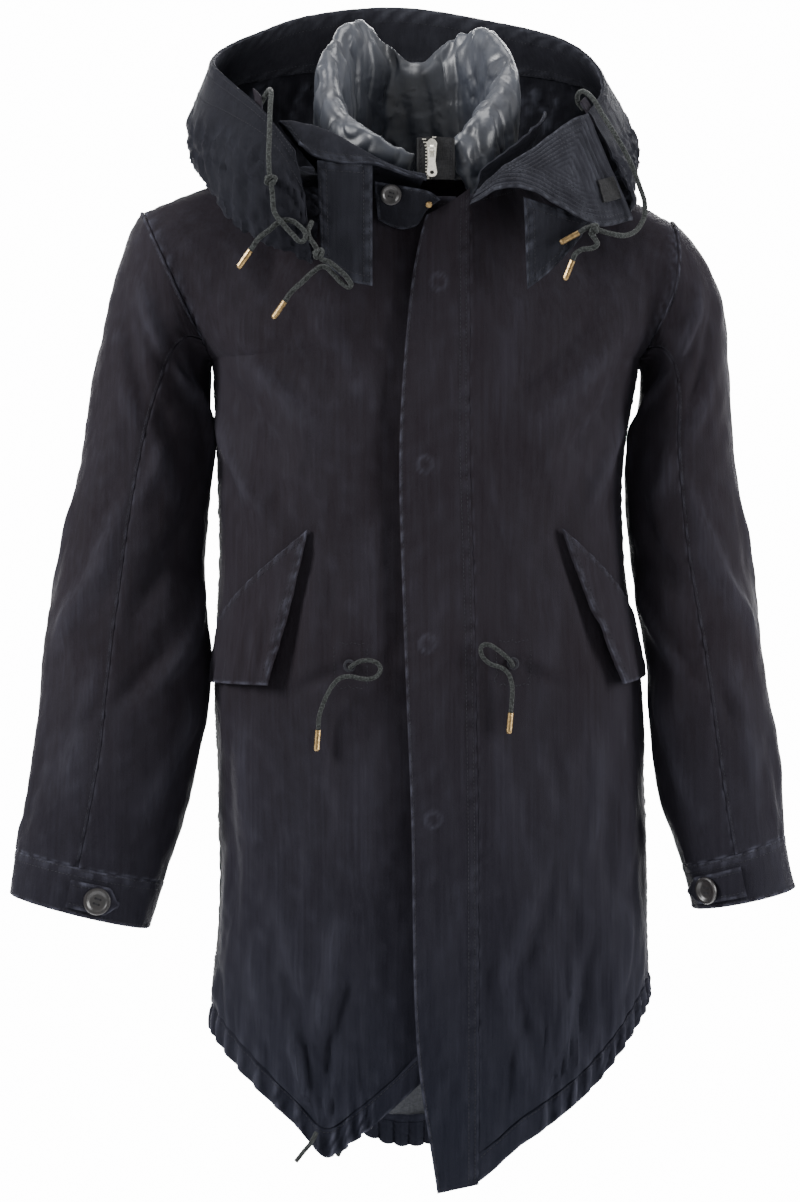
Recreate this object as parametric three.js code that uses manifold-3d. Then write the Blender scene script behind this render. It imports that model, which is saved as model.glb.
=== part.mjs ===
// A thigh-length parka with a fishtail hem, its hood thrown open, as it stands on a wearer.
// Millimetres, +Z up. The front faces -Y, and +X is the wearer's left.
// The origin is the middle of the neck, where the wearer's shoulders hold the garment.
import * as THREE from "three";
import { mergeVertices } from "three/addons/utils/BufferGeometryUtils.js";
import Module from "manifold-3d";

// Driving dimensions
const CLOTH = 1.8; // wall of the outer cloth
const DOUBLE_CLOTH = 2.6; // plackets, cuffs, tabs and flaps are doubled
const SEAM_GAP = 0.3;
const SEAM_ANGLE = 0.1; // half the gap at a side seam, in degrees round the body
const UNDERARM_Z = -158;
const ROUNDNESS = 2.4; // exponent of the body's sections: 2 is an ellipse
const CASING_DEPTH = 25; // height of the drawcord tunnel along the hem
const HOOD_CORD = 4.5;
const WAIST_CORD = 4;
const AGLET = { radius: 2.6, length: 18 };
const CUFF_BUTTON = { radius: 12, height: 4.5 };
const NECK_BUTTON = { radius: 9, height: 4 };

// Body sections: level, left and right side, and the front and back of the ring.
const BODY_SECTIONS = [
  { z: -930, left: -197, right: 204, front: 110, back: 132 },
  { z: -840, left: -195, right: 203, front: 114, back: 136 },
  { z: -750, left: -192, right: 201, front: 120, back: 138 },
  { z: -640, left: -185, right: 200, front: 126, back: 138 },
  { z: -540, left: -186, right: 197, front: 130, back: 135 },
  { z: -440, left: -189, right: 193, front: 132, back: 128 },
  { z: -340, left: -185, right: 179, front: 130, back: 118 },
  { z: -250, left: -187, right: 178, front: 132, back: 120 },
  { z: UNDERARM_Z, left: -191, right: 193, front: 128, back: 118 },
];

// The hem of each panel: height over the distance across.
const HEM_FRONT_RIGHT = [
  { x: -194, z: -757 },
  { x: -151, z: -799 },
  { x: -115, z: -832 },
  { x: -91, z: -858 },
  { x: -66, z: -845 },
  { x: -28, z: -815 },
  { x: 30, z: -762 },
];
const HEM_FRONT_LEFT = [
  { x: 8, z: -887 },
  { x: 30, z: -887 },
  { x: 53, z: -874 },
  { x: 82, z: -849 },
  { x: 103, z: -835 },
  { x: 148, z: -798 },
  { x: 189, z: -748 },
  { x: 204, z: -726 },
];
const HEM_BACK = [
  { x: -196, z: -757 },
  { x: -150, z: -800 },
  { x: -90, z: -852 },
  { x: -22, z: -884 },
  { x: 60, z: -862 },
  { x: 140, z: -800 },
  { x: 204, z: -726 },
];

// The free edge of the fly and the line where it is sewn down.
const FLY_EDGE = [
  { z: -890, free: 10, sewn: 46 },
  { z: -760, free: -8, sewn: 46 },
  { z: -560, free: -13, sewn: 45 },
  { z: -380, free: -20, sewn: 42 },
  { z: -240, free: -23, sewn: 38 },
  { z: -110, free: -14, sewn: 38 },
  { z: -50, free: -3, sewn: 38 },
  { z: -10, free: 12, sewn: 38 },
];
const FLY_TOP = { free: -40, sewn: -16 };
const FLY_BOTTOM = { free: -889, sewn: -881 };
const FRONT_RIGHT_EDGE = 26; // its edge runs on behind the fly
const FLY_LAP = 6.5; // how far the right front lies behind the fly
const NECK_FRONT = { y: -121, z: -22 };
const STAND_INSET = 4.2; // from the neck seam in to the outer collar's stand
const COLLAR_INSET = 5.5; // from the neck seam in to the padded collar
const NECK_RISE = 0.5; // from the neck edge up to what is sewn to it
const NECK_FADE = 4; // how soon a piece leaves the line of the neck seam
const FRONT_YOKE = 4; // how steeply a side edge's pull fades across the yoke: more is nearer the edge
const BACK_YOKE = 6;
const GATHER = { out: 2.1, swell: 0.6, down: 1.2 }; // a hem gather's height, its puff and its scallop

// Sleeve rings from the armhole to the cuff's lower edge. Tilt is the ring's slope in degrees, across its
// half width from inside to outside, deep its half depth, seam the place of the front seam in degrees.
const SLEEVE_RIGHT = [
  { x: -221.5, y: 0, z: -91.5, tilt: 65.36, across: 73.16, deep: 70, seam: 140 },
  { x: -236, y: 2, z: -126, tilt: 42, across: 56, deep: 69, seam: 118 },
  { x: -244, y: 2, z: -175, tilt: 25, across: 54, deep: 66, seam: 102 },
  { x: -249, y: 0, z: -235, tilt: 12, across: 56, deep: 64, seam: 90 },
  { x: -260, y: -5, z: -325, tilt: 8, across: 62, deep: 62, seam: 86 },
  { x: -267, y: -10, z: -430, tilt: 8, across: 74, deep: 60, seam: 82 },
  { x: -277, y: -16, z: -515, tilt: 9, across: 71, deep: 58, seam: 82 },
  { x: -299, y: -24, z: -609, tilt: 12, across: 66, deep: 54, seam: 85 },
  { x: -308, y: -28, z: -650, tilt: 14, across: 62, deep: 52, seam: 85 },
];
const SLEEVE_LEFT = [
  { x: 206.35, y: 0, z: -95.7, tilt: 77.9, across: 63.7, deep: 70, seam: 150 },
  { x: 229, y: 2, z: -130, tilt: 50, across: 50, deep: 70, seam: 124 },
  { x: 232, y: 2, z: -180, tilt: 28, across: 43, deep: 70, seam: 104 },
  { x: 229, y: 0, z: -240, tilt: 12, across: 46, deep: 70, seam: 98 },
  { x: 236, y: -5, z: -330, tilt: 8, across: 51, deep: 70, seam: 96 },
  { x: 249, y: -10, z: -420, tilt: 7, across: 51, deep: 68, seam: 94 },
  { x: 260, y: -16, z: -515, tilt: 8, across: 55, deep: 64, seam: 92 },
  { x: 275, y: -24, z: -595, tilt: 17, across: 46, deep: 60, seam: 95 },
  { x: 284, y: -28, z: -638, tilt: 12, across: 45, deep: 58, seam: 95 },
];
const CUFF_PLACE = 7; // the row of a sleeve's table where its cuff starts
const TAB_LIFT = 0.8; // a cuff's tab over the cuff
const ARMHOLE_GAP = 1.6; // between the armhole's edge and the sleeve, measured across
const ARMHOLE_SWELL = { right: 0, left: 13 }; // how far the armhole bows out at its middle

// Hood sections from its right front edge round the back to its left front, each a line of five points:
// at the neck seam, over the shoulder, at the fold on the shoulder, at the widest place and at the rim.
const HOOD_SECTIONS = [
  {
    neck: [-97, -114, -10], over: [-97, -140, -46], fold: [-99, -154, -84],
    wide: [-103, -163, -36], rim: [-112, -155, 12],
  },
  {
    neck: [-106, -90, 6], over: [-119, -128, -22], fold: [-134, -150, -68],
    wide: [-130, -164, -10], rim: [-141, -128, 50],
  },
  {
    neck: [-112, -56, 16], over: [-140, -92, 6], fold: [-166, -124, -44],
    wide: [-169, -130, 14], rim: [-165, -88, 76],
  },
  {
    neck: [-110, -20, 22], over: [-154, -34, 22], fold: [-193, -52, 2],
    wide: [-206, -52, 38], rim: [-188, -30, 104],
  },
  {
    neck: [-106, 30, 26], over: [-154, 32, 28], fold: [-195, 34, 14],
    wide: [-208, 34, 66], rim: [-184, 30, 126],
  },
  {
    neck: [-84, 76, 30], over: [-128, 94, 32], fold: [-166, 106, 22],
    wide: [-181, 116, 88], rim: [-154, 85, 150],
  },
  {
    neck: [-48, 98, 32], over: [-82, 122, 33], fold: [-112, 136, 24],
    wide: [-117, 150, 102], rim: [-102, 125, 174],
  },
  {
    neck: [-10, 104, 33], over: [-20, 132, 34], fold: [-24, 148, 26],
    wide: [-24, 164, 108], rim: [-22, 150, 185],
  },
  {
    neck: [32, 96, 32], over: [50, 122, 32], fold: [72, 136, 24],
    wide: [74, 152, 104], rim: [66, 130, 168],
  },
  {
    neck: [66, 74, 30], over: [104, 94, 30], fold: [142, 102, 20],
    wide: [146, 118, 90], rim: [124, 90, 146],
  },
  {
    neck: [90, 30, 25], over: [138, 32, 23], fold: [180, 24, 10],
    wide: [184, 36, 58], rim: [152, 30, 116],
  },
  {
    neck: [94, -20, 20], over: [138, -28, 15], fold: [180, -42, 0],
    wide: [183, -24, 34], rim: [158, -30, 82],
  },
  {
    neck: [88, -66, 12], over: [134, -84, 0], fold: [178, -104, -36],
    wide: [168, -98, 4], rim: [141, -87, 53],
  },
];
const HOOD_SPLIT = 7; // the section at the hood's centre back seam
const HOOD_LINES = ["neck", "over", "fold", "wide", "rim"];

// The stand of the outer collar at the right front: its seam, its folded top and the lip's lower edge.
const STAND_RIGHT_SECTIONS = [
  { foot: [-94, -74, 14], top: [-128, -106, 45], lip: [-108, -143, 20] },
  { foot: [-84, -92, 6], top: [-110, -122, 42], lip: [-97, -149, 9] },
  { foot: [-68, -106, 0], top: [-83, -135, 31], lip: [-74, -152, 2] },
  { foot: [-48, -117, -6], top: [-53, -137, 14], lip: [-44, -148, 2] },
  { foot: [-24, -122, -12], top: [-26, -134, 0], lip: [-21, -142, -5] },
  { foot: [-2, -124, -16], top: [0, -131, -6], lip: [1, -135, -10] },
];
const STAND_LINES = ["foot", "top", "lip"];

// The padded inner collar, from its right front end round the back to its left front end: its seam, its
// crest and half its thickness.
const COLLAR_SECTIONS = [
  { foot: [-4, -104, -16], crest: [-4, -114, 10], half: 7 },
  { foot: [-38, -96, -14], crest: [-36, -112, 24], half: 9 },
  { foot: [-60, -78, -6], crest: [-66, -94, 42], half: 11 },
  { foot: [-74, -48, 2], crest: [-84, -56, 76], half: 13 },
  { foot: [-78, -8, 8], crest: [-84, -14, 116], half: 13 },
  { foot: [-72, 34, 14], crest: [-68, 26, 146], half: 11 },
  { foot: [-46, 66, 18], crest: [-38, 56, 136], half: 9 },
  { foot: [-8, 78, 20], crest: [-4, 64, 118], half: 9 },
  { foot: [30, 68, 18], crest: [28, 56, 136], half: 9 },
  { foot: [56, 38, 14], crest: [58, 28, 138], half: 11 },
  { foot: [66, -6, 8], crest: [74, -14, 108], half: 13 },
  { foot: [64, -46, 2], crest: [66, -54, 74], half: 13 },
  { foot: [48, -80, -8], crest: [46, -86, 50], half: 12 },
  { foot: [23, -102, -18], crest: [22, -113, 22], half: 8 },
];

// Long soft folds of the cloth, as ridges: their middle across and up, slope from upright in degrees,
// half length, half width and height. A hollow has a height below zero.
const FRONT_FOLDS = [
  { x: -120, z: -215, lean: -34, long: 95, wide: 15, high: 4 },
  { x: -140, z: -262, lean: -28, long: 80, wide: 13, high: -4 },
  { x: 118, z: -222, lean: 32, long: 95, wide: 15, high: 4 },
  { x: 138, z: -268, lean: 26, long: 75, wide: 13, high: -4 },
  { x: -70, z: -560, lean: -9, long: 150, wide: 17, high: 3.5 },
  { x: -128, z: -640, lean: 7, long: 150, wide: 18, high: -4 },
  { x: 92, z: -700, lean: -12, long: 150, wide: 17, high: 4.5 },
  { x: 134, z: -610, lean: 8, long: 150, wide: 18, high: -4 },
  { x: -104, z: -760, lean: 16, long: 85, wide: 13, high: 4 },
  { x: 120, z: -745, lean: -18, long: 85, wide: 13, high: 3.5 },
];
const BACK_FOLDS = [
  { x: 96, z: -230, lean: -24, long: 110, wide: 18, high: 4 },
  { x: -104, z: -240, lean: 22, long: 110, wide: 18, high: 4 },
  { x: -40, z: -480, lean: 6, long: 170, wide: 20, high: -5 },
  { x: 62, z: -500, lean: -7, long: 160, wide: 19, high: -5 },
  { x: 10, z: -640, lean: 2, long: 180, wide: 22, high: 5 },
  { x: 128, z: -640, lean: -10, long: 150, wide: 18, high: 4 },
  { x: -122, z: -650, lean: 11, long: 150, wide: 18, high: 4 },
];
// Folds of a sleeve: place along it in rings and round it in degrees, with the slope between them.
const SLEEVE_FOLDS = [
  { along: 1.6, round: 110, slope: 30, long: 40, wide: 0.3, high: 4 },
  { along: 2.5, round: 150, slope: 22, long: 42, wide: 0.3, high: -4 },
  { along: 4.1, round: 140, slope: -18, long: 45, wide: 0.22, high: 4.5 },
  { along: 4.7, round: 60, slope: 12, long: 45, wide: 0.22, high: -4 },
  { along: 5.4, round: 120, slope: 10, long: 50, wide: 0.24, high: -4 },
  { along: 4.4, round: 260, slope: 12, long: 50, wide: 0.24, high: 4.5 },
  { along: 5.1, round: 290, slope: -12, long: 45, wide: 0.24, high: -4 },
  { along: 2.0, round: 250, slope: -25, long: 40, wide: 0.28, high: 4 },
];

const paint = (color, roughness, metalness = 0) =>
  new THREE.MeshStandardMaterial({ color, roughness, metalness });
const NAVY = paint(0x23262d, 0.85);
const FACING = paint(0x2a2e36, 0.85);
const LINING = paint(0x555a61, 0.6);
const NYLON = paint(0x4a4f59, 0.4);
const CORD = paint(0x262b2b, 0.8);
const BRASS = paint(0xb08d57, 0.35, 1);
const STEEL = paint(0xb9b4a6, 0.3, 1);
const HORN = paint(0x17181b, 0.3);
const TAPE = paint(0x1a1c20, 0.8);

const wasm = await Module();
wasm.setup();

const model = new THREE.Group();
const { clamp, degToRad, radToDeg, smoothstep } = THREE.MathUtils;
const mix = (a, b, t) => a + (b - a) * t;
const at = (x, y, z) => new THREE.Vector3(x, y, z);

// Evenly spaced values from one number to another, both included.
function steps(from, to, count) {
  return Array.from({ length: count + 1 }, (_, i) => mix(from, to, i / count));
}

// A cubic between two values with a slope at each end.
function cubic(a, b, slopeA, slopeB, t) {
  const rest = 1 - t;
  return a * rest * rest * (1 + 2 * t) + b * t * t * (1 + 2 * rest) + (slopeA * rest - slopeB * t) * t * rest;
}

// A smooth curve through evenly spaced values, at a place counted in steps.
function spline(values, place) {
  const i = clamp(Math.floor(place), 0, values.length - 2);
  const [a, b] = [values[i], values[i + 1]];
  const before = i > 0 ? values[i - 1] : 2 * a - b;
  const after = i + 2 < values.length ? values[i + 2] : 2 * b - a;
  return cubic(a, b, (b - before) / 2, (after - a) / 2, place - i);
}

// A smooth curve through one column of a table whose rows rise along another, level past its ends.
function column(table, key, over, value) {
  const place = clamp(value, table[0][over], table[table.length - 1][over]);
  let i = 0;
  while (i < table.length - 2 && place > table[i + 1][over]) i += 1;
  const slope = (j) => {
    const a = table[Math.max(j - 1, 0)];
    const b = table[Math.min(j + 1, table.length - 1)];
    return (b[key] - a[key]) / (b[over] - a[over]);
  };
  const span = table[i + 1][over] - table[i][over];
  const t = (place - table[i][over]) / span;
  return cubic(table[i][key], table[i + 1][key], slope(i) * span, slope(i + 1) * span, t);
}

const row = (table, key, place) => spline(table.map((r) => r[key]), place);

// A smooth curve through points, from 0 to 1.
function through(points, t) {
  const place = t * (points.length - 1);
  return at(...[0, 1, 2].map((axis) => spline(points.map((p) => p[axis]), place)));
}

// A smooth surface through a table's named lines of points, u along its rows and v over the lines.
function lofted(table, lines) {
  return (u, v) => {
    const across = lines.map((line) => through(table.map((r) => r[line]), u).toArray());
    return through(across, v);
  };
}

// A surface between a lower and an upper curve, bowed towards -Y.
function between(lower, upper, bow = 0) {
  return (u, v) => {
    const point = through(lower, u).lerp(through(upper, u), v);
    point.y -= bow * Math.sin(Math.PI * clamp(v, 0, 1));
    return point;
  };
}

// The direction that a surface faces, from its slopes along u and v.
function facing(surface, u, v) {
  const nudge = 1e-3;
  const along = surface(u + nudge, v).sub(surface(u - nudge, v));
  const up = surface(u, v + nudge).sub(surface(u, v - nudge));
  return along.cross(up).normalize();
}

// A surface moved out along the way that it faces.
function moved(surface, out) {
  return (u, v) => {
    return surface(u, v).addScaledVector(facing(surface, u, v), out);
  };
}

function keep(name, skin, geometry) {
  const mesh = new THREE.Mesh(geometry, skin);
  mesh.name = name;
  model.add(mesh);
  return mesh;
}

// A closed wall: the outer points, the same points moved in by the wall's thickness, and a rim round the
// open edges. Side is 1 where the surface faces out along u x v and -1 where it faces in. A rim function
// replaces the facing where two walls meet at a ridge.
function wall(name, skin, surface, us, vs, thick, { side = 1, round = false, rim = null } = {}) {
  const places = [];
  const count = us.length * vs.length;
  for (const layer of [0, 1])
    for (const v of vs)
      for (const u of us) {
        const out = (rim && rim(u, v)) || facing(surface, u, v).multiplyScalar(side);
        places.push(...surface(u, v).addScaledVector(out, -layer * thick).toArray());
      }
  const spot = (i, j, layer) => layer * count + j * us.length + (i % us.length);
  const index = [];
  const quad = (a, b, c, d) => {
    if (side > 0) index.push(a, b, c, a, c, d);
    else index.push(a, c, b, a, d, c);
  };
  const end = round ? us.length : us.length - 1;
  const last = vs.length - 1;
  for (let i = 0; i < end; i += 1) {
    for (let j = 0; j < last; j += 1) {
      quad(spot(i, j, 0), spot(i + 1, j, 0), spot(i + 1, j + 1, 0), spot(i, j + 1, 0));
      quad(spot(i, j, 1), spot(i, j + 1, 1), spot(i + 1, j + 1, 1), spot(i + 1, j, 1));
    }
    quad(spot(i + 1, 0, 0), spot(i, 0, 0), spot(i, 0, 1), spot(i + 1, 0, 1));
    quad(spot(i, last, 0), spot(i + 1, last, 0), spot(i + 1, last, 1), spot(i, last, 1));
  }
  for (let j = 0; j < last && !round; j += 1) {
    quad(spot(0, j, 0), spot(0, j + 1, 0), spot(0, j + 1, 1), spot(0, j, 1));
    quad(spot(end, j + 1, 0), spot(end, j, 0), spot(end, j, 1), spot(end, j + 1, 1));
  }
  const geometry = new THREE.BufferGeometry();
  geometry.setAttribute("position", new THREE.Float32BufferAttribute(places, 3));
  geometry.setIndex(index);
  return keep(name, skin, geometry);
}

// A piece turned so that its own Z looks along a direction, and set at a point.
function seat(mesh, point, direction) {
  mesh.position.copy(point);
  mesh.quaternion.setFromUnitVectors(at(0, 0, 1), direction.clone().normalize());
  return mesh;
}

// A round cord along points.
function cord(name, diameter, points) {
  const sides = 8;
  const curve = new THREE.CatmullRomCurve3(points.map((p) => at(...p)));
  const corners = steps(0, 2 * Math.PI, sides).slice(0, sides);
  const radius = diameter / 2;
  const section = new THREE.Shape(
    corners.map((turn) => new THREE.Vector2(radius * Math.cos(turn), radius * Math.sin(turn))),
  );
  const count = Math.max(3, Math.round(curve.getLength() / (diameter * 2.4)));
  const options = { steps: count, extrudePath: curve, bevelEnabled: false };
  return keep(name, CORD, new THREE.ExtrudeGeometry(section, options));
}

// A turned piece that stands on its own Z axis, from rows of radius and height.
function turned(name, skin, profile, sides) {
  const geometry = new THREE.LatheGeometry(profile.map((p) => new THREE.Vector2(...p)), sides);
  geometry.rotateX(Math.PI / 2);
  return keep(name, skin, geometry);
}

// The metal tip on a cord's end, along the cord's last direction.
function aglet(name, points) {
  const { radius, length } = AGLET;
  const [before, end] = points.slice(-2).map((p) => at(...p));
  const direction = end.clone().sub(before).normalize();
  const profile = [[0, 0], [radius, 0], [radius, length - 1.5], [radius * 0.7, length], [0, length]];
  seat(turned(name, BRASS, profile, 10), end.addScaledVector(direction, SEAM_GAP), direction);
}

// A sew-through button with a raised rim.
function button(name, { radius, height }, point, direction) {
  const profile = [
    [0, 0],
    [radius * 0.86, 0],
    [radius, height * 0.35],
    [radius, height * 0.8],
    [radius * 0.9, height],
    [radius * 0.72, height * 0.92],
    [radius * 0.6, height * 0.62],
    [0, height * 0.6],
  ];
  seat(turned(name, HORN, profile, 16), point, direction);
}

// The body's ring at a level, by the angle round it: 0 is the left side, 90 the back, 270 the front.
function ring(angle, z) {
  const get = (key) => column(BODY_SECTIONS, key, "z", z);
  const turn = degToRad(angle);
  const [c, s] = [Math.cos(turn), Math.sin(turn)];
  const half = (get("right") - get("left")) / 2;
  const deep = s < 0 ? get("front") : get("back");
  const sum = Math.abs(c / half) ** ROUNDNESS + Math.abs(s / deep) ** ROUNDNESS;
  const reach = sum ** (-1 / ROUNDNESS);
  return at((get("left") + get("right")) / 2 + reach * c, reach * s, z);
}

// The angle at which the front of the ring lies at a distance across.
function frontAngle(x, z) {
  const get = (key) => column(BODY_SECTIONS, key, "z", z);
  const half = (get("right") - get("left")) / 2;
  const across = x - (get("left") + get("right")) / 2;
  const deep = get("front") * (1 - Math.abs(across / half) ** ROUNDNESS) ** (1 / ROUNDNESS);
  return 270 + radToDeg(Math.atan2(across, deep));
}

function relief(folds, x, z) {
  let height = 0;
  for (const f of folds) {
    const lean = degToRad(f.lean);
    const along = (z - f.z) * Math.cos(lean) + (x - f.x) * Math.sin(lean);
    const across = (x - f.x) * Math.cos(lean) - (z - f.z) * Math.sin(lean);
    height += f.high * Math.exp(-((along / f.long) ** 2) - (across / f.wide) ** 2);
  }
  return height;
}

// The rings of a sleeve by the angle round them: 0 is outside, 90 the front. Outward is -1 on the right
// sleeve and 1 on the left one. The ring at place 0 is the armhole.
function sleeveRing(table, outward, angle, place) {
  const get = (key) => row(table, key, place);
  const tilt = degToRad(get("tilt"));
  const turn = degToRad(angle);
  const across = get("across") * Math.cos(turn);
  const swell = outward > 0 ? ARMHOLE_SWELL.left : ARMHOLE_SWELL.right;
  const bow = swell * Math.sin(turn) ** 2 * Math.max(0, 1 - place / 1.5) ** 2;
  return at(
    get("x") + outward * (Math.cos(tilt) * across + bow),
    get("y") - get("deep") * Math.sin(turn),
    get("z") + Math.sin(tilt) * across,
  );
}

// Shoulder and neck points that the front and back panels share.
const SHOULDER_RIGHT = [-252, 0, -25];
const OVER_SHOULDER_RIGHT = [-176, 0, 4];
const NECK_RIGHT = [-100, 0, 8];
const SHOULDER_LEFT = [219.7, 0, -33.4];
const OVER_SHOULDER_LEFT = [152, 0, 1];
const NECK_LEFT = [84, 0, 6];
const shoulderRight = [SHOULDER_RIGHT, OVER_SHOULDER_RIGHT, NECK_RIGHT];
const shoulderLeft = [NECK_LEFT, OVER_SHOULDER_LEFT, SHOULDER_LEFT];

// A top edge of smooth stretches, each given by its points and the share of the edge where it ends.
function topEdge(stretches) {
  return (u) => {
    const i = Math.max(0, stretches.findIndex((s) => u <= s.until));
    const from = i ? stretches[i - 1].until : 0;
    const { points, until, shift } = stretches[i];
    const point = through(points, (u - from) / (until - from));
    point.y += shift;
    return point;
  };
}

// A body panel. Rows from 0 to 1 run from the casing up to the underarm, rows from 1 to 2 on to the top.
function panel({ angles, hem, folds, top, left, right, back, fade }) {
  const low = (u, v) => {
    const across = ring(angles(u, -800), -800).x;
    const start = column(hem, "z", "x", across) + CASING_DEPTH;
    const z = mix(start, UNDERARM_Z, v);
    return ring(angles(u, z), z);
  };
  // Above the underarm a row bends from the ring to the top edge. The side edges pull it to their own
  // height all the way across, but to their own place across and depth only close by.
  const yoke = (u, v) => {
    const h = v * v;
    const point = low(u, 1).lerp(top(u), h);
    const pull = (edge, end, weight) => {
      const off = edge(v).sub(low(end, 1).lerp(top(end), h));
      return point.add(off.multiply(at(weight ** fade, weight ** fade, weight)));
    };
    pull(left, 0, 1 - u);
    return pull(right, 1, u);
  };
  const plain = (u, v) => (v <= 1 ? low(u, v) : yoke(u, v - 1));
  return (u, v) => {
    const point = plain(u, v);
    const out = facing(plain, clamp(u, 0.004, 0.996), clamp(v, 0.004, 1.996));
    const calm = clamp(Math.min(8 * u, 8 * (1 - u), 3 * (2 - v)), 0, 1);
    return point.addScaledVector(out, relief(folds, point.x, point.z) * calm - back(point.x));
  };
}

// The armhole edge of a panel, from the underarm over the front or the back to the shoulder.
function armholeEdge(table, outward, from) {
  return (v) => sleeveRing(table, outward, mix(180, from, v), 0);
}

// The fly's edges where the right and left fronts end, from the underarm to the neck.
const flyAt = (key, z) => column(FLY_EDGE, key, "z", z);
function frontEdge(acrossAt) {
  return (v) => {
    const z = mix(UNDERARM_Z, NECK_FRONT.z, v);
    const x = acrossAt(z);
    const low = ring(frontAngle(acrossAt(UNDERARM_Z), UNDERARM_Z), UNDERARM_Z);
    return at(x, mix(low.y, NECK_FRONT.y, v), z);
  };
}

const sewnEdge = (z) => flyAt("sewn", z) + 2 * SEAM_GAP;
const { y: frontY, z: frontZ } = NECK_FRONT;
const NECK_FRONT_RIGHT = [
  [-97, -68, 0], [-68, -108, -12], [-20, -120, -20], [FRONT_RIGHT_EDGE, frontY, frontZ],
];
const NECK_FRONT_LEFT = [[sewnEdge(frontZ), frontY, frontZ], [70, -96, -12], [84, -52, -2]];
const NECK_BACK = [[66, 62, 14], [-8, 92, 18], [-82, 62, 15]];

const lapBack = (x) => FLY_LAP * smoothstep(x, -75, -30);
const frontRight = panel({
  angles: (u, z) => mix(180 + SEAM_ANGLE, frontAngle(FRONT_RIGHT_EDGE, z), u),
  hem: HEM_FRONT_RIGHT,
  folds: FRONT_FOLDS,
  top: topEdge([
    { points: shoulderRight, until: 0.34, shift: -SEAM_GAP },
    { points: [NECK_RIGHT, ...NECK_FRONT_RIGHT], until: 1, shift: -SEAM_GAP },
  ]),
  left: armholeEdge(SLEEVE_RIGHT, -1, 0),
  right: frontEdge(() => FRONT_RIGHT_EDGE),
  back: lapBack,
  fade: FRONT_YOKE,
});
const frontLeft = panel({
  angles: (u, z) => mix(frontAngle(sewnEdge(z), z), 360 - SEAM_ANGLE, u),
  hem: HEM_FRONT_LEFT,
  folds: FRONT_FOLDS,
  top: topEdge([
    { points: [...NECK_FRONT_LEFT, NECK_LEFT], until: 0.6, shift: -SEAM_GAP },
    { points: shoulderLeft, until: 1, shift: -SEAM_GAP },
  ]),
  left: frontEdge(sewnEdge),
  right: armholeEdge(SLEEVE_LEFT, 1, 0),
  back: () => 0,
  fade: FRONT_YOKE,
});
const back = panel({
  angles: (u) => mix(SEAM_ANGLE, 180 - SEAM_ANGLE, u),
  hem: HEM_BACK,
  folds: BACK_FOLDS,
  top: topEdge([
    { points: [...shoulderLeft].reverse(), until: 0.3, shift: SEAM_GAP },
    { points: [NECK_LEFT, ...NECK_BACK, NECK_RIGHT], until: 0.7, shift: SEAM_GAP },
    { points: [...shoulderRight].reverse(), until: 1, shift: SEAM_GAP },
  ]),
  left: armholeEdge(SLEEVE_LEFT, 1, 360),
  right: armholeEdge(SLEEVE_RIGHT, -1, 360),
  back: () => 0,
  fade: BACK_YOKE,
});

// Walls on a shoulder seam share one upright rim, and the left front's edge faces as the fly does.
const upright = (isShoulder) => (u, v) => (v > 1.999 && isShoulder(u) ? at(0, 0, 1) : null);
const leftRim = (u, v) => (u < 1e-6 && v > 1 ? at(0, -1, 0) : upright((across) => across > 0.59)(u, v));
const PANEL_ROWS = [...steps(0.0006, 1, 12), ...steps(1, 2, 6).slice(1)];
const PANEL_COLUMNS = { frontRight: 15, frontLeft: 12, back: 22 };

function body() {
  const piece = (name, surface, columns, rim) =>
    wall(name, NAVY, surface, steps(0, 1, columns), PANEL_ROWS, CLOTH, { rim });
  piece("front_right", frontRight, PANEL_COLUMNS.frontRight, upright((u) => u < 0.34));
  piece("front_left", frontLeft, PANEL_COLUMNS.frontLeft, leftRim);
  piece("back", back, PANEL_COLUMNS.back, upright((u) => u < 0.3 || u > 0.7));
}

// The front's surface by distance across and height, up to the neck.
function frontPoint(x, z) {
  const low = ring(frontAngle(x, Math.min(z, UNDERARM_Z)), Math.min(z, UNDERARM_Z));
  const rise = Math.max(0, (z - UNDERARM_Z) / (NECK_FRONT.z - UNDERARM_Z));
  return at(x, mix(low.y, NECK_FRONT.y, rise), z);
}

const fly = (u, v) => {
  const bottom = mix(FLY_BOTTOM.free, FLY_BOTTOM.sewn, u);
  const z = mix(bottom, mix(FLY_TOP.free, FLY_TOP.sewn, u), v);
  return frontPoint(mix(flyAt("free", z), flyAt("sewn", z), u), z);
};

// The drawcord tunnel along a hem, sewn along the straight stretches between the panel's columns. Its
// gathers stand out of the panel's surface.
function casing(name, angles, hem, gathers) {
  const hemAt = (u) => column(hem, "z", "x", ring(angles(u, -800), -800).x);
  const sewnAt = (u) => {
    const place = clamp(u, 0, 1) * gathers.columns;
    const i = Math.min(Math.floor(place), gathers.columns - 1);
    return mix(hemAt(i / gathers.columns), hemAt((i + 1) / gathers.columns), place - i) + CASING_DEPTH;
  };
  const surface = (u, v) => {
    const wave = Math.cos(2 * Math.PI * gathers.count * u + 1.7 * Math.sin(9 * u));
    const starts = smoothstep(u, gathers.from - 0.06, gathers.from);
    const show = starts * (1 - smoothstep(u, gathers.to, gathers.to + 0.06));
    const strength = show * mix(1, 0.35, v);
    const z = mix(hemAt(u) + GATHER.down * wave * show, sewnAt(u) - SEAM_GAP, v);
    const point = ring(angles(u, z), z);
    const out = facing((a, b) => ring(angles(a, b * 100), b * 100), clamp(u, 0.004, 0.996), z / 100);
    const puff = GATHER.swell * Math.sin(Math.PI * clamp(v, 0, 1));
    return point.addScaledVector(out, GATHER.out * wave * strength + puff - gathers.back(point.x));
  };
  wall(name, NAVY, surface, steps(0, 1, gathers.count * 3), [0, 1], DOUBLE_CLOTH);
}

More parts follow.
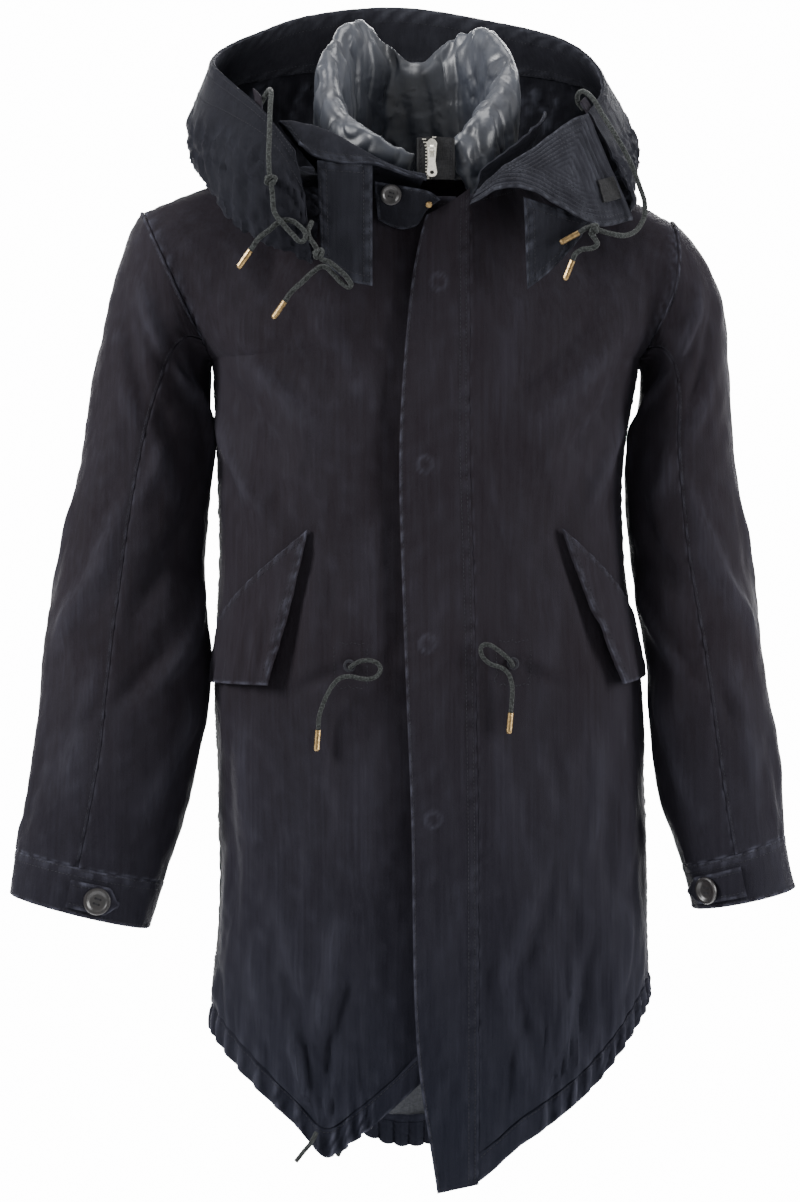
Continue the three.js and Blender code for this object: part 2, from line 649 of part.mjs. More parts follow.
function hems() {
  casing("hem_casing_front_right", (u, z) => mix(180 + SEAM_ANGLE, frontAngle(FRONT_RIGHT_EDGE, z), u),
    HEM_FRONT_RIGHT, { count: 20, from: 0.02, to: 0.62, back: lapBack, columns: PANEL_COLUMNS.frontRight });
  casing("hem_casing_front_left", (u, z) => mix(frontAngle(sewnEdge(z), z), 360 - SEAM_ANGLE, u),
    HEM_FRONT_LEFT, { count: 18, from: 0.34, to: 0.98, back: () => 0, columns: PANEL_COLUMNS.frontLeft });
  casing("hem_casing_back", (u) => mix(SEAM_ANGLE, 180 - SEAM_ANGLE, u),
    HEM_BACK, { count: 30, from: 0.04, to: 0.96, back: () => 0, columns: PANEL_COLUMNS.back });
}

function sleeve(side, table, outward) {
  const surface = (angle, place) => {
    const point = sleeveRing(table, outward, angle, place);
    const plain = (a, b) => sleeveRing(table, outward, a * 100, b);
    const out = facing(plain, angle / 100, place).multiplyScalar(-outward);
    const calm = clamp(Math.min(place * 1.5 - 0.6, (7 - place) * 2), 0, 1);
    let height = 0;
    for (const f of SLEEVE_FOLDS) {
      const turn = ((angle - f.round + 540) % 360) - 180;
      const along = (place - f.along - turn / 100 * f.slope / 100) / f.wide;
      height += f.high * Math.exp(-(along ** 2) - (turn / f.long) ** 2);
    }
    point.addScaledVector(out, height * calm);
    point.x += outward * ARMHOLE_GAP * Math.max(0, 1 - place);
    return point;
  };
  const seamAt = (place) => row(table, "seam", clamp(place, 0, 8));
  const gapAt = (place) => 0.25 + 0.95 * Math.max(0, 1 - place);
  const half = (from, to) => (u, v) => {
    const place = v * CUFF_PLACE;
    return surface(mix(from(place), to(place), u), place);
  };
  const rim = (u, v, from, to) => {
    if (v > 1e-6) return null;
    const turn = degToRad(mix(from(0), to(0), u));
    return at(0, -Math.sin(turn), Math.cos(turn));
  };
  const rows = [...steps(0, 0.3, 5), ...steps(0.3, 1, 9).slice(1)].map((v) => v * 0.999);
  const upper = [(p) => gapAt(p) - seamAt(p), (p) => seamAt(p) - gapAt(p)];
  const under = [(p) => seamAt(p) + gapAt(p), (p) => 360 - seamAt(p) - gapAt(p)];
  const options = (edges) => ({ side: -outward, rim: (u, v) => rim(u, v, ...edges) });
  wall(`sleeve_upper_${side}`, NAVY, half(...upper), steps(0, 1, 10), rows, CLOTH, options(upper));
  wall(`sleeve_under_${side}`, NAVY, half(...under), steps(0, 1, 9), rows, CLOTH, options(under));
}
// The cuff's outer surface, u in degrees round it and v from its seam to its edge.
function cuffSurface(table, outward) {
  return (angle, v) => {
    const point = (a, b) => sleeveRing(table, outward, a * 100, CUFF_PLACE + b);
    const out = facing(point, angle / 100, v).multiplyScalar(outward);
    return point(angle / 100, v).addScaledVector(out, CLOTH);
  };
}

function cuff(side, table, outward, tab) {
  const surface = cuffSurface(table, outward);
  const turns = steps(0, 360, 24).slice(0, 24);
  wall(`cuff_${side}`, NAVY, surface, turns, [0, 1], DOUBLE_CLOTH, { side: outward, round: true });
  const lifted = (out) => (u, v) => {
    const narrow = 1 - smoothstep(u, 0.72, 1) * 0.75;
    const middle = (tab.low + tab.high) / 2;
    const across = middle + (tab.high - tab.low) * (v - 0.5) * narrow;
    const angle = mix(tab.from, tab.to, u);
    const normal = facing(surface, angle, across).multiplyScalar(outward);
    return surface(angle, across).addScaledVector(normal, out);
  };
  const tabTop = DOUBLE_CLOTH + TAB_LIFT;
  wall(`cuff_tab_${side}`, NAVY, lifted(tabTop), [0, 0.2, 0.4, 0.6, 0.75, 0.88, 1], [0, 0.5, 1],
    DOUBLE_CLOTH, { side: outward });
  const middle = (tab.low + tab.high) / 2;
  const normal = facing(surface, tab.button, middle).multiplyScalar(outward);
  const foot = surface(tab.button, middle).addScaledVector(normal, tabTop + SEAM_GAP);
  button(`cuff_button_${side}`, CUFF_BUTTON, foot, normal);
}

// A point off the body's surface, by angle and level, following the front's folds.
function offBody(angle, z, out) {
  const surface = (a, b) => ring(a * 100, b * 100);
  const normal = facing(surface, angle / 100, z / 100);
  const point = ring(angle, z);
  return point.addScaledVector(normal, out + Math.max(0, relief(FRONT_FOLDS, point.x, z)));
}

// A slanted flap over a pocket: its corners as angle and level, the tip first.
function pocket(side, { tip, seamEnd, lowEnd, lowTip }, open) {
  const flap = (u, v) => {
    const angle = mix(mix(lowEnd[0], lowTip[0], u), mix(seamEnd[0], tip[0], u), v);
    const z = mix(mix(lowEnd[1], lowTip[1], u), mix(seamEnd[1], tip[1], u), v);
    const stand = DOUBLE_CLOTH + 2 * SEAM_GAP + open * u * u * (1 - v) + 3 * (1 - v);
    return offBody(angle, z, stand);
  };
  const turn = Math.sign(tip[0] - seamEnd[0]);
  wall(`pocket_flap_${side}`, NAVY, flap, steps(0, 1, 7), steps(0, 1, 6), DOUBLE_CLOTH, { side: turn });
}

// The neck seam along the panels' own columns, from the right front's end round the back to the left
// front's end.
const NECK_AXIS_X = 5;
const neckLine = [
  ...steps(15, 5, 10).map((i) => frontRight(i / PANEL_COLUMNS.frontRight, 2)),
  ...steps(15, 7, 8).map((i) => back(i / PANEL_COLUMNS.back, 2)),
  ...steps(7, 0, 7).map((i) => frontLeft(i / PANEL_COLUMNS.frontLeft, 2)),
].filter((p) => p.x <= NECK_AXIS_X || p.y > 0 || p.x > 30);
const turnOf = (p) => Math.atan2(p.x - NECK_AXIS_X, p.y);

// The point of the neck seam on the same side of the neck as a point, moved in and up.
function neckSeam(near, inward, rise) {
  const turn = clamp(turnOf(near), turnOf(neckLine[0]), turnOf(neckLine[neckLine.length - 1]));
  let i = 0;
  while (i < neckLine.length - 2 && turn > turnOf(neckLine[i + 1])) i += 1;
  const [a, b] = [turnOf(neckLine[i]), turnOf(neckLine[i + 1])];
  const point = neckLine[i].clone().lerp(neckLine[i + 1], clamp((turn - a) / (b - a), 0, 1));
  const middle = at(NECK_AXIS_X, 0, point.z);
  point.addScaledVector(middle.sub(point).normalize(), inward);
  point.z += rise;
  return point;
}

// A surface whose lower edge is drawn onto the neck seam.
function sewnToNeck(surface, inward, rise) {
  return (u, v) => {
    const foot = surface(u, 0);
    const off = neckSeam(foot, inward, rise).sub(foot);
    return surface(u, v).addScaledVector(off, (1 - clamp(v, 0, 1)) ** NECK_FADE);
  };
}

const hoodSurface = sewnToNeck(lofted(HOOD_SECTIONS, HOOD_LINES), 0, CLOTH + NECK_RISE);

function hood() {
  const split = HOOD_SPLIT / (HOOD_SECTIONS.length - 1);
  const slit = 0.0009;
  const rows = steps(0, 1, 11);
  const right = steps(0, split - slit, 18);
  const left = steps(split + slit, 1, 13);
  wall("hood_right", NAVY, hoodSurface, right, rows, CLOTH);
  wall("hood_left", NAVY, hoodSurface, left, rows, CLOTH);
  const inside = moved(hoodSurface, CLOTH + SEAM_GAP);
  wall("hood_facing", FACING, inside, [...right.slice(4), ...left.slice(0, -1)], rows.slice(-3), CLOTH);
}

// The turned-out left front of the hood, a pointed leaf that shows its stitched facing.
const LAPEL_LOW = [
  [37, -148, -34], [62, -160, -21], [90, -160, -22], [117, -154, -36], [150, -135, -50], [181, -106.7, -42],
];
const LAPEL_HIGH = [
  [44, -146, -20], [68, -144, 2], [90, -136, 16], [110, -122, 32], [128, -105, 46], [142, -88.7, 53],
];
const lapel = between(LAPEL_LOW, LAPEL_HIGH, 3);
const neckStrap = between(
  [[-42, -118.6, -44], [-24, -119.1, -52], [-8, -119.1, -49], [-2, -119.6, -37]],
  [[-45, -133, -12], [-20, -133, -16], [2, -130, -20], [13, -126, -27]],
  3,
);

function collarLeaves() {
  wall("hood_lapel_left", FACING, lapel, steps(0, 1, 12), steps(0, 1, 5), CLOTH);
  const under = between(
    [[87, -143, -106], [105, -144, -92], [128, -137, -68], [142, -126, -47]],
    [[84, -154.3, -28], [142, -135.8, -44]],
  );
  wall("neck_leaf_left", NAVY, under, steps(0, 1, 6), steps(0, 1, 4), CLOTH);
  const hanging = between(
    [[-90, -150, -82], [-78, -148, -92], [-63, -146, -100], [-46, -142, -103]],
    [[-94, -147, 5], [-80, -148.9, 3], [-66, -149.1, 2], [-46, -145.5, 1]],
    2,
  );
  wall("neck_leaf_right", NAVY, hanging, steps(0, 1, 5), steps(0, 1, 6), CLOTH);
  const standRight = sewnToNeck(lofted(STAND_RIGHT_SECTIONS, STAND_LINES), STAND_INSET, 2 * NECK_RISE);
  wall("stand_right", NAVY, standRight, steps(0, 1, 9), steps(0, 1, 6), CLOTH, { side: -1 });
  const standLeft = between(
    [[44, -126, -18], [66, -104, -8], [80, -72, 4], [84, -34, 12]],
    [[46, -132, -2], [78, -122, 24], [100, -96, 46], [106, -50, 60]],
  );
  const sewn = sewnToNeck(standLeft, STAND_INSET, 2 * NECK_RISE);
  wall("stand_left", NAVY, sewn, steps(0, 1, 8), steps(0, 1, 4), CLOTH, { side: -1 });
  wall("neck_strap", NAVY, neckStrap, steps(0, 1, 6), steps(0, 1, 4), DOUBLE_CLOTH);
  const out = facing(neckStrap, 0.2, 0.75);
  button("neck_button", NECK_BUTTON, neckStrap(0.2, 0.75).addScaledVector(out, 0.4), out);
}

// Small sewn pieces: the strip of lining above the back hem, the loop tabs that lead the hood's cords and
// the tape on the lapel.
function trims() {
  const lining = moved(back, -CLOTH - 2 * SEAM_GAP);
  const columns = steps(6, 16, 10).map((i) => i / PANEL_COLUMNS.back);
  wall("back_lining", LINING, lining, columns, [0.004, 0.07], 1.2);
  const onHood = moved(hoodSurface, CLOTH + 0.7);
  wall("hood_tab_right", NAVY, onHood, steps(0.088, 0.112, 2), steps(0.94, 1.05, 3), CLOTH);
  wall("hood_tab_left", NAVY, onHood, steps(0.976, 0.994, 2), steps(0.94, 1.05, 3), CLOTH);
  const patch = moved(lapel, 1.2 + 2 * SEAM_GAP);
  wall("lapel_tape", TAPE, patch, [0.85, 11 / 12, 0.97], [0.2, 0.4], 1.2);
  const point = neckStrap(0.8, 0.6);
  const out = facing(neckStrap, 0.8, 0.6);
  const profile = [[0, 0], [3, 0], [3, 0.8], [2.2, 1.5], [0, 1.5]];
  seat(turned("neck_snap", BRASS, profile, 12), point.addScaledVector(out, SEAM_GAP), out);
}

// The padded collar: a rounded sausage of a section from its seam to its crest.
function paddedCollar() {
  const feet = COLLAR_SECTIONS.map((s) => neckSeam(at(...s.foot), s.half + COLLAR_INSET, 0).toArray());
  const surface = (u, turn) => {
    const foot = through(feet, u);
    const crest = through(COLLAR_SECTIONS.map((s) => s.crest), u);
    const half = row(COLLAR_SECTIONS, "half", u * (COLLAR_SECTIONS.length - 1));
    const middle = foot.clone().lerp(crest, 0.5);
    const up = crest.clone().sub(foot);
    const reach = up.length() / 2 + half;
    up.normalize();
    const next = through(COLLAR_SECTIONS.map((s) => s.crest), u + 0.01);
    const along = next.sub(through(COLLAR_SECTIONS.map((s) => s.crest), u - 0.01)).normalize();
    const across = along.clone().cross(up).normalize();
    const [c, s] = [Math.cos(turn), Math.sin(turn)];
    const square = (value, power) => Math.sign(value) * Math.abs(value) ** power;
    return middle.addScaledVector(up, reach * square(c, 0.75)).addScaledVector(across, half * square(s, 0.6));
  };
  const places = [];
  const index = [];
  const [count, sides] = [30, 12];
  for (let i = 0; i <= count; i += 1)
    for (let k = 0; k < sides; k += 1)
      places.push(...surface(i / count, (k / sides) * 2 * Math.PI).toArray());
  const spot = (i, k) => i * sides + (k % sides);
  for (let i = 0; i < count; i += 1)
    for (let k = 0; k < sides; k += 1) {
      index.push(spot(i, k), spot(i + 1, k + 1), spot(i + 1, k));
      index.push(spot(i, k), spot(i, k + 1), spot(i + 1, k + 1));
    }
  for (let k = 1; k < sides - 1; k += 1) {
    index.push(spot(0, 0), spot(0, k + 1), spot(0, k));
    index.push(spot(count, 0), spot(count, k), spot(count, k + 1));
  }
  const geometry = new THREE.BufferGeometry();
  geometry.setAttribute("position", new THREE.Float32BufferAttribute(places, 3));
  geometry.setIndex(index);
  keep("inner_collar", NYLON, geometry);
}

// The collar's zip: its tape, its slider with a ring for the pull tab, and the tab that swings on it.
const ZIP = { x: 5, y: -127.2, z: 17 }; // the middle of the slider's ring
const RING_INNER = 1.8;
const RING_OUTER = 3.3;
const TAB_THICK = 1.5;
const TAB_LENGTH = 29;
const TAB_REST_TILT = 22; // the tab rests on the collar's front, tilted out

function solidOf(geometry) {
  const bare = geometry.clone();
  bare.deleteAttribute("normal");
  bare.deleteAttribute("uv");
  const merged = mergeVertices(bare, 1e-4);
  const vertProperties = new Float32Array(merged.attributes.position.array);
  const triVerts = new Uint32Array(merged.index.array);
  return new wasm.Manifold(new wasm.Mesh({ numProp: 3, vertProperties, triVerts }));
}

function geometryOf(solid) {
  const mesh = solid.getMesh();
  const geometry = new THREE.BufferGeometry();
  geometry.setAttribute("position", new THREE.Float32BufferAttribute(mesh.vertProperties, 3));
  geometry.setIndex(new THREE.BufferAttribute(new Uint32Array(mesh.triVerts), 1));
  return geometry;
}

function zip() {
  const tape = between(
    [[-8, -121.4, -9], [5, -122.2, -9], [25, -121, -9]],
    [[-8, -121.8, 27], [5, -123, 28], [25, -121.5, 27]],
  );
  wall("zip_tape", TAPE, tape, steps(0, 1, 4), steps(0, 1, 5), 1.5);
  const outline = new THREE.Shape();
  outline.moveTo(-3.4, -8);
  outline.lineTo(3.4, -8);
  outline.lineTo(4.6, 5);
  outline.quadraticCurveTo(2.5, 9, 0, 9);
  outline.quadraticCurveTo(-2.5, 9, -4.6, 5);
  const plate = new THREE.ExtrudeGeometry(outline, { depth: 2.6, bevelEnabled: false, curveSegments: 4 });
  plate.rotateX(Math.PI / 2);
  plate.translate(0, 4, 0);
  const loop = new THREE.Shape().absarc(0, 0, RING_OUTER, 0, 2 * Math.PI);
  loop.holes.push(new THREE.Path().absarc(0, 0, RING_INNER, 0, 2 * Math.PI));
  const bridge = new THREE.ExtrudeGeometry(loop, { depth: 3, bevelEnabled: false, curveSegments: 10 });
  bridge.rotateY(Math.PI / 2);
  bridge.translate(-1.5, 0, 0);
  const slider = keep("zip_slider", STEEL, geometryOf(solidOf(plate).add(solidOf(bridge))));
  slider.position.set(ZIP.x, ZIP.y, ZIP.z);

  const top = 1;
  const end = 4.4;
  const eyeHeight = top - TAB_LENGTH + end;
  const flat = (points) => points.map(([x, y]) => new THREE.Vector2(x, y));
  const lower = steps(Math.PI, 0, 10).map((turn) => [end * Math.cos(turn), eyeHeight - end * Math.sin(turn)]);
  const tab = new THREE.Shape(flat([[3.6, top], [-3.6, top], [-3, -13], ...lower, [3, -13]]));
  const circle = steps(0, 2 * Math.PI, 12).slice(1);
  const slot = flat([[-2, -top], [2, -top], [2, -9], [-2, -9]]);
  const eye = flat(circle.map((turn) => [1.9 * Math.cos(turn), eyeHeight + 1.9 * Math.sin(turn)]));
  tab.holes.push(new THREE.Path(slot), new THREE.Path(eye));
  const leaf = new THREE.ExtrudeGeometry(tab, { depth: TAB_THICK, bevelEnabled: false });
  leaf.translate(0, 0, -TAB_THICK / 2);
  leaf.rotateX(Math.PI / 2);
  const pull = keep("zip_pull_tab", STEEL, leaf);
  pull.rotation.x = degToRad(-TAB_REST_TILT);
  pull.position.set(ZIP.x, ZIP.y, ZIP.z);
}

// Hood cords hang from the loop tabs and along the hood, waist cords from their eyelets.
const HOOD_CORD_RIGHT_OUTER = [
  [-143, -115.35, 57.8], [-137.4, -118.6, 67], [-134, -132, 66], [-134, -148, 48], [-134, -165, 24],
  [-134, -176, -4], [-131, -177, -28], [-129, -177, -44], [-123, -176, -52], [-114, -175, -62],
  [-106, -174, -68], [-103, -173, -62], [-108, -173, -55], [-116, -172, -50], [-125, -170.5, -51],
  [-134, -170, -58], [-143, -169, -65], [-150, -168, -75],
];
const HOOD_CORD_RIGHT_INNER = [
  [-98, -161.3, -50], [-100.5, -171, -62], [-94, -172, -73], [-90, -171, -82], [-83, -168, -85],
  [-75, -165, -91], [-67, -162, -99], [-65, -160, -105], [-71, -160, -103], [-79, -160, -95],
  [-88, -160, -88], [-96, -160, -92], [-106, -158, -101], [-116, -156, -110], [-121, -154, -117],
];
const HOOD_CORD_LEFT = [
  [138.9, -73.5, 58.2], [133.2, -77.4, 66], [136, -87, 72], [144, -98, 66], [153, -108, 50],
  [164, -118, 30], [176, -120, 8], [185, -118, -14], [190, -116, -32], [186, -120, -48],
  [174, -130, -58], [160, -138, -58], [148, -143, -55], [140, -146, -53], [131, -147, -58],
];
const HOOD_CORD_LEFT_END = [
  [140.6, -146, -57.1], [147, -146, -67], [142, -146, -71], [134, -146, -72], [128, -145, -76],
  [126, -144, -81],
];
const WAIST_CORD_RIGHT = [
  [-66, -131.2, -432], [-61, -136, -428], [-52, -138, -425], [-43, -138, -427], [-39, -138, -433],
  [-45, -138, -440], [-55, -138, -441], [-66, -139, -439], [-75, -139, -441], [-82, -138, -449],
  [-88, -137, -461], [-92, -136, -473], [-93, -135.5, -485],
];
const WAIST_CORD_LEFT = [
  [75, -129.2, -430], [72, -136, -425], [64, -138, -418], [55, -138, -412], [48, -138, -413],
  [48, -138, -421], [55, -138, -428], [64, -139, -431], [71, -139, -437], [74, -138, -447],
  [74, -137, -458], [73, -136, -470],
];
const HEM_CORD_RIGHT_OUTER = [
  [-95, -107.6, -836], [-100, -110, -845], [-106, -111, -852], [-113, -110, -861],
];
const HEM_CORD_RIGHT_INNER = [
  [-66, -105.3, -828], [-69, -103, -838], [-72, -100, -848], [-77, -98, -858],
];

function cords() {
  cord("hem_cord_right_outer", WAIST_CORD, HEM_CORD_RIGHT_OUTER);
  cord("hem_cord_right_inner", WAIST_CORD, HEM_CORD_RIGHT_INNER);
  const routes = {
    hood_cord_right_outer: [HOOD_CORD, HOOD_CORD_RIGHT_OUTER],
    hood_cord_right_inner: [HOOD_CORD, HOOD_CORD_RIGHT_INNER],
    hood_cord_left: [HOOD_CORD, HOOD_CORD_LEFT],
    hood_cord_left_end: [HOOD_CORD, HOOD_CORD_LEFT_END],
    waist_cord_right: [WAIST_CORD, WAIST_CORD_RIGHT],
    waist_cord_left: [WAIST_CORD, WAIST_CORD_LEFT],
  };
  for (const [name, [diameter, points]] of Object.entries(routes)) {
    cord(name, diameter, points);
    aglet(name.replace("cord", "aglet"), points);
  }
}

// An eyelet ring on the front where a waist cord comes out.
function eyelet(name, x, z) {
  const profile = [[2.6, 0], [5, 0], [5.6, 0.7], [4.6, 1.4], [3, 1.2], [2.6, 0]];
  const normal = facing((a, b) => ring(a * 100, b * 100), frontAngle(x, z) / 100, z / 100);
  const point = frontPoint(x, z).addScaledVector(normal, SEAM_GAP + relief(FRONT_FOLDS, x, z));
  seat(turned(name, TAPE, profile, 16), point, normal);
}

body();
wall("fly_placket", NAVY, fly, steps(0, 1, 2), steps(0, 1, 18), DOUBLE_CLOTH);
hems();
sleeve("right", SLEEVE_RIGHT, -1);
sleeve("left", SLEEVE_LEFT, 1);
cuff("right", SLEEVE_RIGHT, -1, { from: 82, to: 122, low: 0.2, high: 0.86, button: 104 });
cuff("left", SLEEVE_LEFT, 1, { from: 92, to: 165, low: 0.2, high: 0.86, button: 130 });
pocket("right", { tip: [230, -312], seamEnd: [194, -390], lowEnd: [188, -446], lowTip: [218, -447] }, 8);
pocket("left", { tip: [319, -311], seamEnd: [353, -390], lowEnd: [352, -440], lowTip: [333, -447] }, 8);
hood();
collarLeaves();
trims();
paddedCollar();
zip();
cords();
eyelet("waist_eyelet_right", -66, -430);
eyelet("waist_eyelet_left", 75, -428);

export default model;
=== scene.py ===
"""A dark navy parka in worn form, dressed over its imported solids. Lengths are in millimetres until a mesh
is made, +Z up, the front faces -Y and +X is the wearer's left."""
import math

import bpy
import numpy as np
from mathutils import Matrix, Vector
from mathutils.kdtree import KDTree


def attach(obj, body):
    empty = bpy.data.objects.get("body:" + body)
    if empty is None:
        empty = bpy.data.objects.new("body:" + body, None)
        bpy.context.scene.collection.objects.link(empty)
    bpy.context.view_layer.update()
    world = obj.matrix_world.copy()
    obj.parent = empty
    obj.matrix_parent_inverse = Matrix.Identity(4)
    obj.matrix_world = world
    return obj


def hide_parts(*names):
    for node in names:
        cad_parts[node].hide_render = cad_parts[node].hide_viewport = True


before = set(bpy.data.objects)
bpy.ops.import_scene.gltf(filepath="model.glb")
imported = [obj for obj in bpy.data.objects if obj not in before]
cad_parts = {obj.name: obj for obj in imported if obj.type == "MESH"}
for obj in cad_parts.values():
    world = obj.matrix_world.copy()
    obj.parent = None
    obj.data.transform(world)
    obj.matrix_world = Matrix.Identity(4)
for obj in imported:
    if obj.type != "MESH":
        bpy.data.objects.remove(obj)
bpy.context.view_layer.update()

MM = 0.001

# The form, with the same sizes as the solids
CLOTH = 1.8
DOUBLE_CLOTH = 2.6
THIN = 1.2  # lining and tape
SEAM_GAP = 0.3
SEAM_ANGLE = 0.1
UNDERARM_Z = -158
HEM_LEVEL = -800  # where the places across a hem are measured
ROUNDNESS = 2.4
CASING_DEPTH = 25
TUCK_IN = 2.8  # how far the casing's upper edge lies behind the panel
TUCK_UP = 1.16  # how far up its grid reaches, in depths of the casing
GATHERS = {"right": (20, 0.02, 0.62), "left": (18, 0.34, 0.98), "back": (30, 0.04, 0.96)}
GATHER_FADE = 0.06
HOOD_CORD = 4.5
WAIST_CORD = 4
CUFF_PLACE = 7
TAB_LIFT = 0.8
ARMHOLE_GAP = 0.4
SLEEVE_STEP = 60  # about the distance between a sleeve's rings
FLY_GAP = 0.1
FRONT_RIGHT_EDGE = 26
FLY_LAP = 6.5
NECK_FRONT = (-121, -22)
NECK_AXIS_X = 5
STAND_INSET = 4.2
COLLAR_INSET = 5.5
NECK_RISE = 0.5
NECK_FADE = 4
FRONT_YOKE = 4
BACK_YOKE = 6
FLY_TOP = (-40, -16)
FLY_BOTTOM = (-889, -881)
MARGIN = 0.004  # how far inside its edges a surface's facing is taken
ANY_PHASE = 6.28


def table(names, rows):
    return dict(zip(names.split(), np.array(rows, float).T))


BODY = table("z left right front back", [
    (-930, -197, 204, 110, 132), (-840, -195, 203, 114, 136), (-750, -192, 201, 120, 138),
    (-640, -185, 200, 126, 138), (-540, -186, 197, 130, 135), (-440, -189, 193, 132, 128),
    (-340, -185, 179, 130, 118), (-250, -187, 178, 132, 120), (-158, -191, 193, 128, 118)])
HEM_FRONT_RIGHT = table("x z", [
    (-194, -757), (-151, -799), (-115, -832), (-91, -858), (-66, -845), (-28, -815), (30, -762)])
HEM_FRONT_LEFT = table("x z", [
    (8, -887), (30, -887), (53, -874), (82, -849), (103, -835), (148, -798), (189, -748), (204, -726)])
HEM_BACK = table("x z", [
    (-196, -757), (-150, -800), (-90, -852), (-22, -884), (60, -862), (140, -800), (204, -726)])
# The fly's free edge and its sewn edge, across
FLY_EDGE = table("z free sewn", [
    (-890, 10, 46), (-760, -8, 46), (-560, -13, 45), (-380, -20, 42), (-240, -23, 38), (-110, -14, 38),
    (-50, -3, 38), (-10, 12, 38)])
# Each row is a ring of a sleeve: its middle, the tilt of its plane in degrees, its half sizes across and in
# depth, and the angle of its seams. The last two rings bound the cuff.
SLEEVE_COLUMNS = "x y z tilt across deep seam"
SLEEVE_RIGHT = table(SLEEVE_COLUMNS, [
    (-221.5, 0, -91.5, 65.36, 73.16, 70, 140), (-236, 2, -126, 42, 56, 69, 118),
    (-244, 2, -175, 25, 54, 66, 102), (-249, 0, -235, 12, 56, 64, 90), (-260, -5, -325, 8, 62, 62, 86),
    (-267, -10, -430, 8, 74, 60, 82), (-277, -16, -515, 9, 71, 58, 82), (-299, -24, -609, 12, 66, 54, 85),
    (-308, -28, -650, 14, 62, 52, 85)])
SLEEVE_LEFT = table(SLEEVE_COLUMNS, [
    (206.35, 0, -95.7, 77.9, 63.7, 70, 150), (229, 2, -130, 50, 50, 70, 124),
    (232, 2, -180, 28, 43, 70, 104), (229, 0, -240, 12, 46, 70, 98), (236, -5, -330, 8, 51, 70, 96),
    (249, -10, -420, 7, 51, 68, 94), (260, -16, -515, 8, 55, 64, 92), (275, -24, -595, 17, 46, 60, 95),
    (284, -28, -638, 12, 45, 58, 95)])
ARMHOLE_SWELL = {-1: 0, 1: 13}

# Each row is a section of the hood: its points at the neck, over the shoulder, at the fold, at the widest
# place and at the rim.
HOOD = np.array([
    ((-97, -114, -10), (-97, -140, -46), (-99, -154, -84), (-103, -163, -36), (-112, -155, 12)),
    ((-106, -90, 6), (-119, -128, -22), (-134, -150, -68), (-130, -164, -10), (-141, -128, 50)),
    ((-112, -56, 16), (-140, -92, 6), (-166, -124, -44), (-169, -130, 14), (-165, -88, 76)),
    ((-110, -20, 22), (-154, -34, 22), (-193, -52, 2), (-206, -52, 38), (-188, -30, 104)),
    ((-106, 30, 26), (-154, 32, 28), (-195, 34, 14), (-208, 34, 66), (-184, 30, 126)),
    ((-84, 76, 30), (-128, 94, 32), (-166, 106, 22), (-181, 116, 88), (-154, 85, 150)),
    ((-48, 98, 32), (-82, 122, 33), (-112, 136, 24), (-117, 150, 102), (-102, 125, 174)),
    ((-10, 104, 33), (-20, 132, 34), (-24, 148, 26), (-24, 164, 108), (-22, 150, 185)),
    ((32, 96, 32), (50, 122, 32), (72, 136, 24), (74, 152, 104), (66, 130, 168)),
    ((66, 74, 30), (104, 94, 30), (142, 102, 20), (146, 118, 90), (124, 90, 146)),
    ((90, 30, 25), (138, 32, 23), (180, 24, 10), (184, 36, 58), (152, 30, 116)),
    ((94, -20, 20), (138, -28, 15), (180, -42, 0), (183, -24, 34), (158, -30, 82)),
    ((88, -66, 12), (134, -84, 0), (178, -104, -36), (168, -98, 4), (141, -87, 53))], float)
HOOD_SPLIT = 7 / 12  # the seam between the halves
HOOD_SLIT = 0.0001
HOOD_LAP = 0.0015
# Each row is a section of the right stand: its foot, top and lip.
STAND_RIGHT = np.array([
    ((-94, -74, 14), (-128, -106, 45), (-108, -143, 20)), ((-84, -92, 6), (-110, -122, 42), (-97, -149, 9)),
    ((-68, -106, 0), (-83, -135, 31), (-74, -152, 2)), ((-48, -117, -6), (-53, -137, 14), (-44, -148, 2)),
    ((-24, -122, -12), (-26, -134, 0), (-21, -142, -5)),
    ((-2, -124, -16), (0, -131, -6), (1, -135, -10))], float)
# Each row is a section of the padded collar: its foot, its crest and its half thickness.
COLLAR = table("fx fy fz cx cy cz half", [
    (-4, -104, -16, -4, -114, 10, 7), (-38, -96, -14, -36, -112, 24, 9), (-60, -78, -6, -66, -94, 42, 11),
    (-74, -48, 2, -84, -56, 76, 13), (-78, -8, 8, -84, -14, 116, 13), (-72, 34, 14, -68, 26, 146, 11),
    (-46, 66, 18, -38, 56, 136, 9), (-8, 78, 20, -4, 64, 118, 9), (30, 68, 18, 28, 56, 136, 9),
    (56, 38, 14, 58, 28, 138, 11), (66, -6, 8, 74, -14, 108, 13), (64, -46, 2, 66, -54, 74, 13),
    (48, -80, -8, 46, -86, 50, 12), (23, -102, -18, 22, -113, 22, 8)])

# The large folds, which the solids have too. Each has a middle, a lean in degrees, a length, a width and a
# height.
FOLD_COLUMNS = "x z lean long wide high"
FRONT_FOLDS = table(FOLD_COLUMNS, [
    (-120, -215, -34, 95, 15, 4), (-140, -262, -28, 80, 13, -4), (118, -222, 32, 95, 15, 4),
    (138, -268, 26, 75, 13, -4), (-70, -560, -9, 150, 17, 3.5), (-128, -640, 7, 150, 18, -4),
    (92, -700, -12, 150, 17, 4.5), (134, -610, 8, 150, 18, -4), (-104, -760, 16, 85, 13, 4),
    (120, -745, -18, 85, 13, 3.5)])
BACK_FOLDS = table(FOLD_COLUMNS, [
    (96, -230, -24, 110, 18, 4), (-104, -240, 22, 110, 18, 4), (-40, -480, 6, 170, 20, -5),
    (62, -500, -7, 160, 19, -5), (10, -640, 2, 180, 22, 5), (128, -640, -10, 150, 18, 4),
    (-122, -650, 11, 150, 18, 4)])
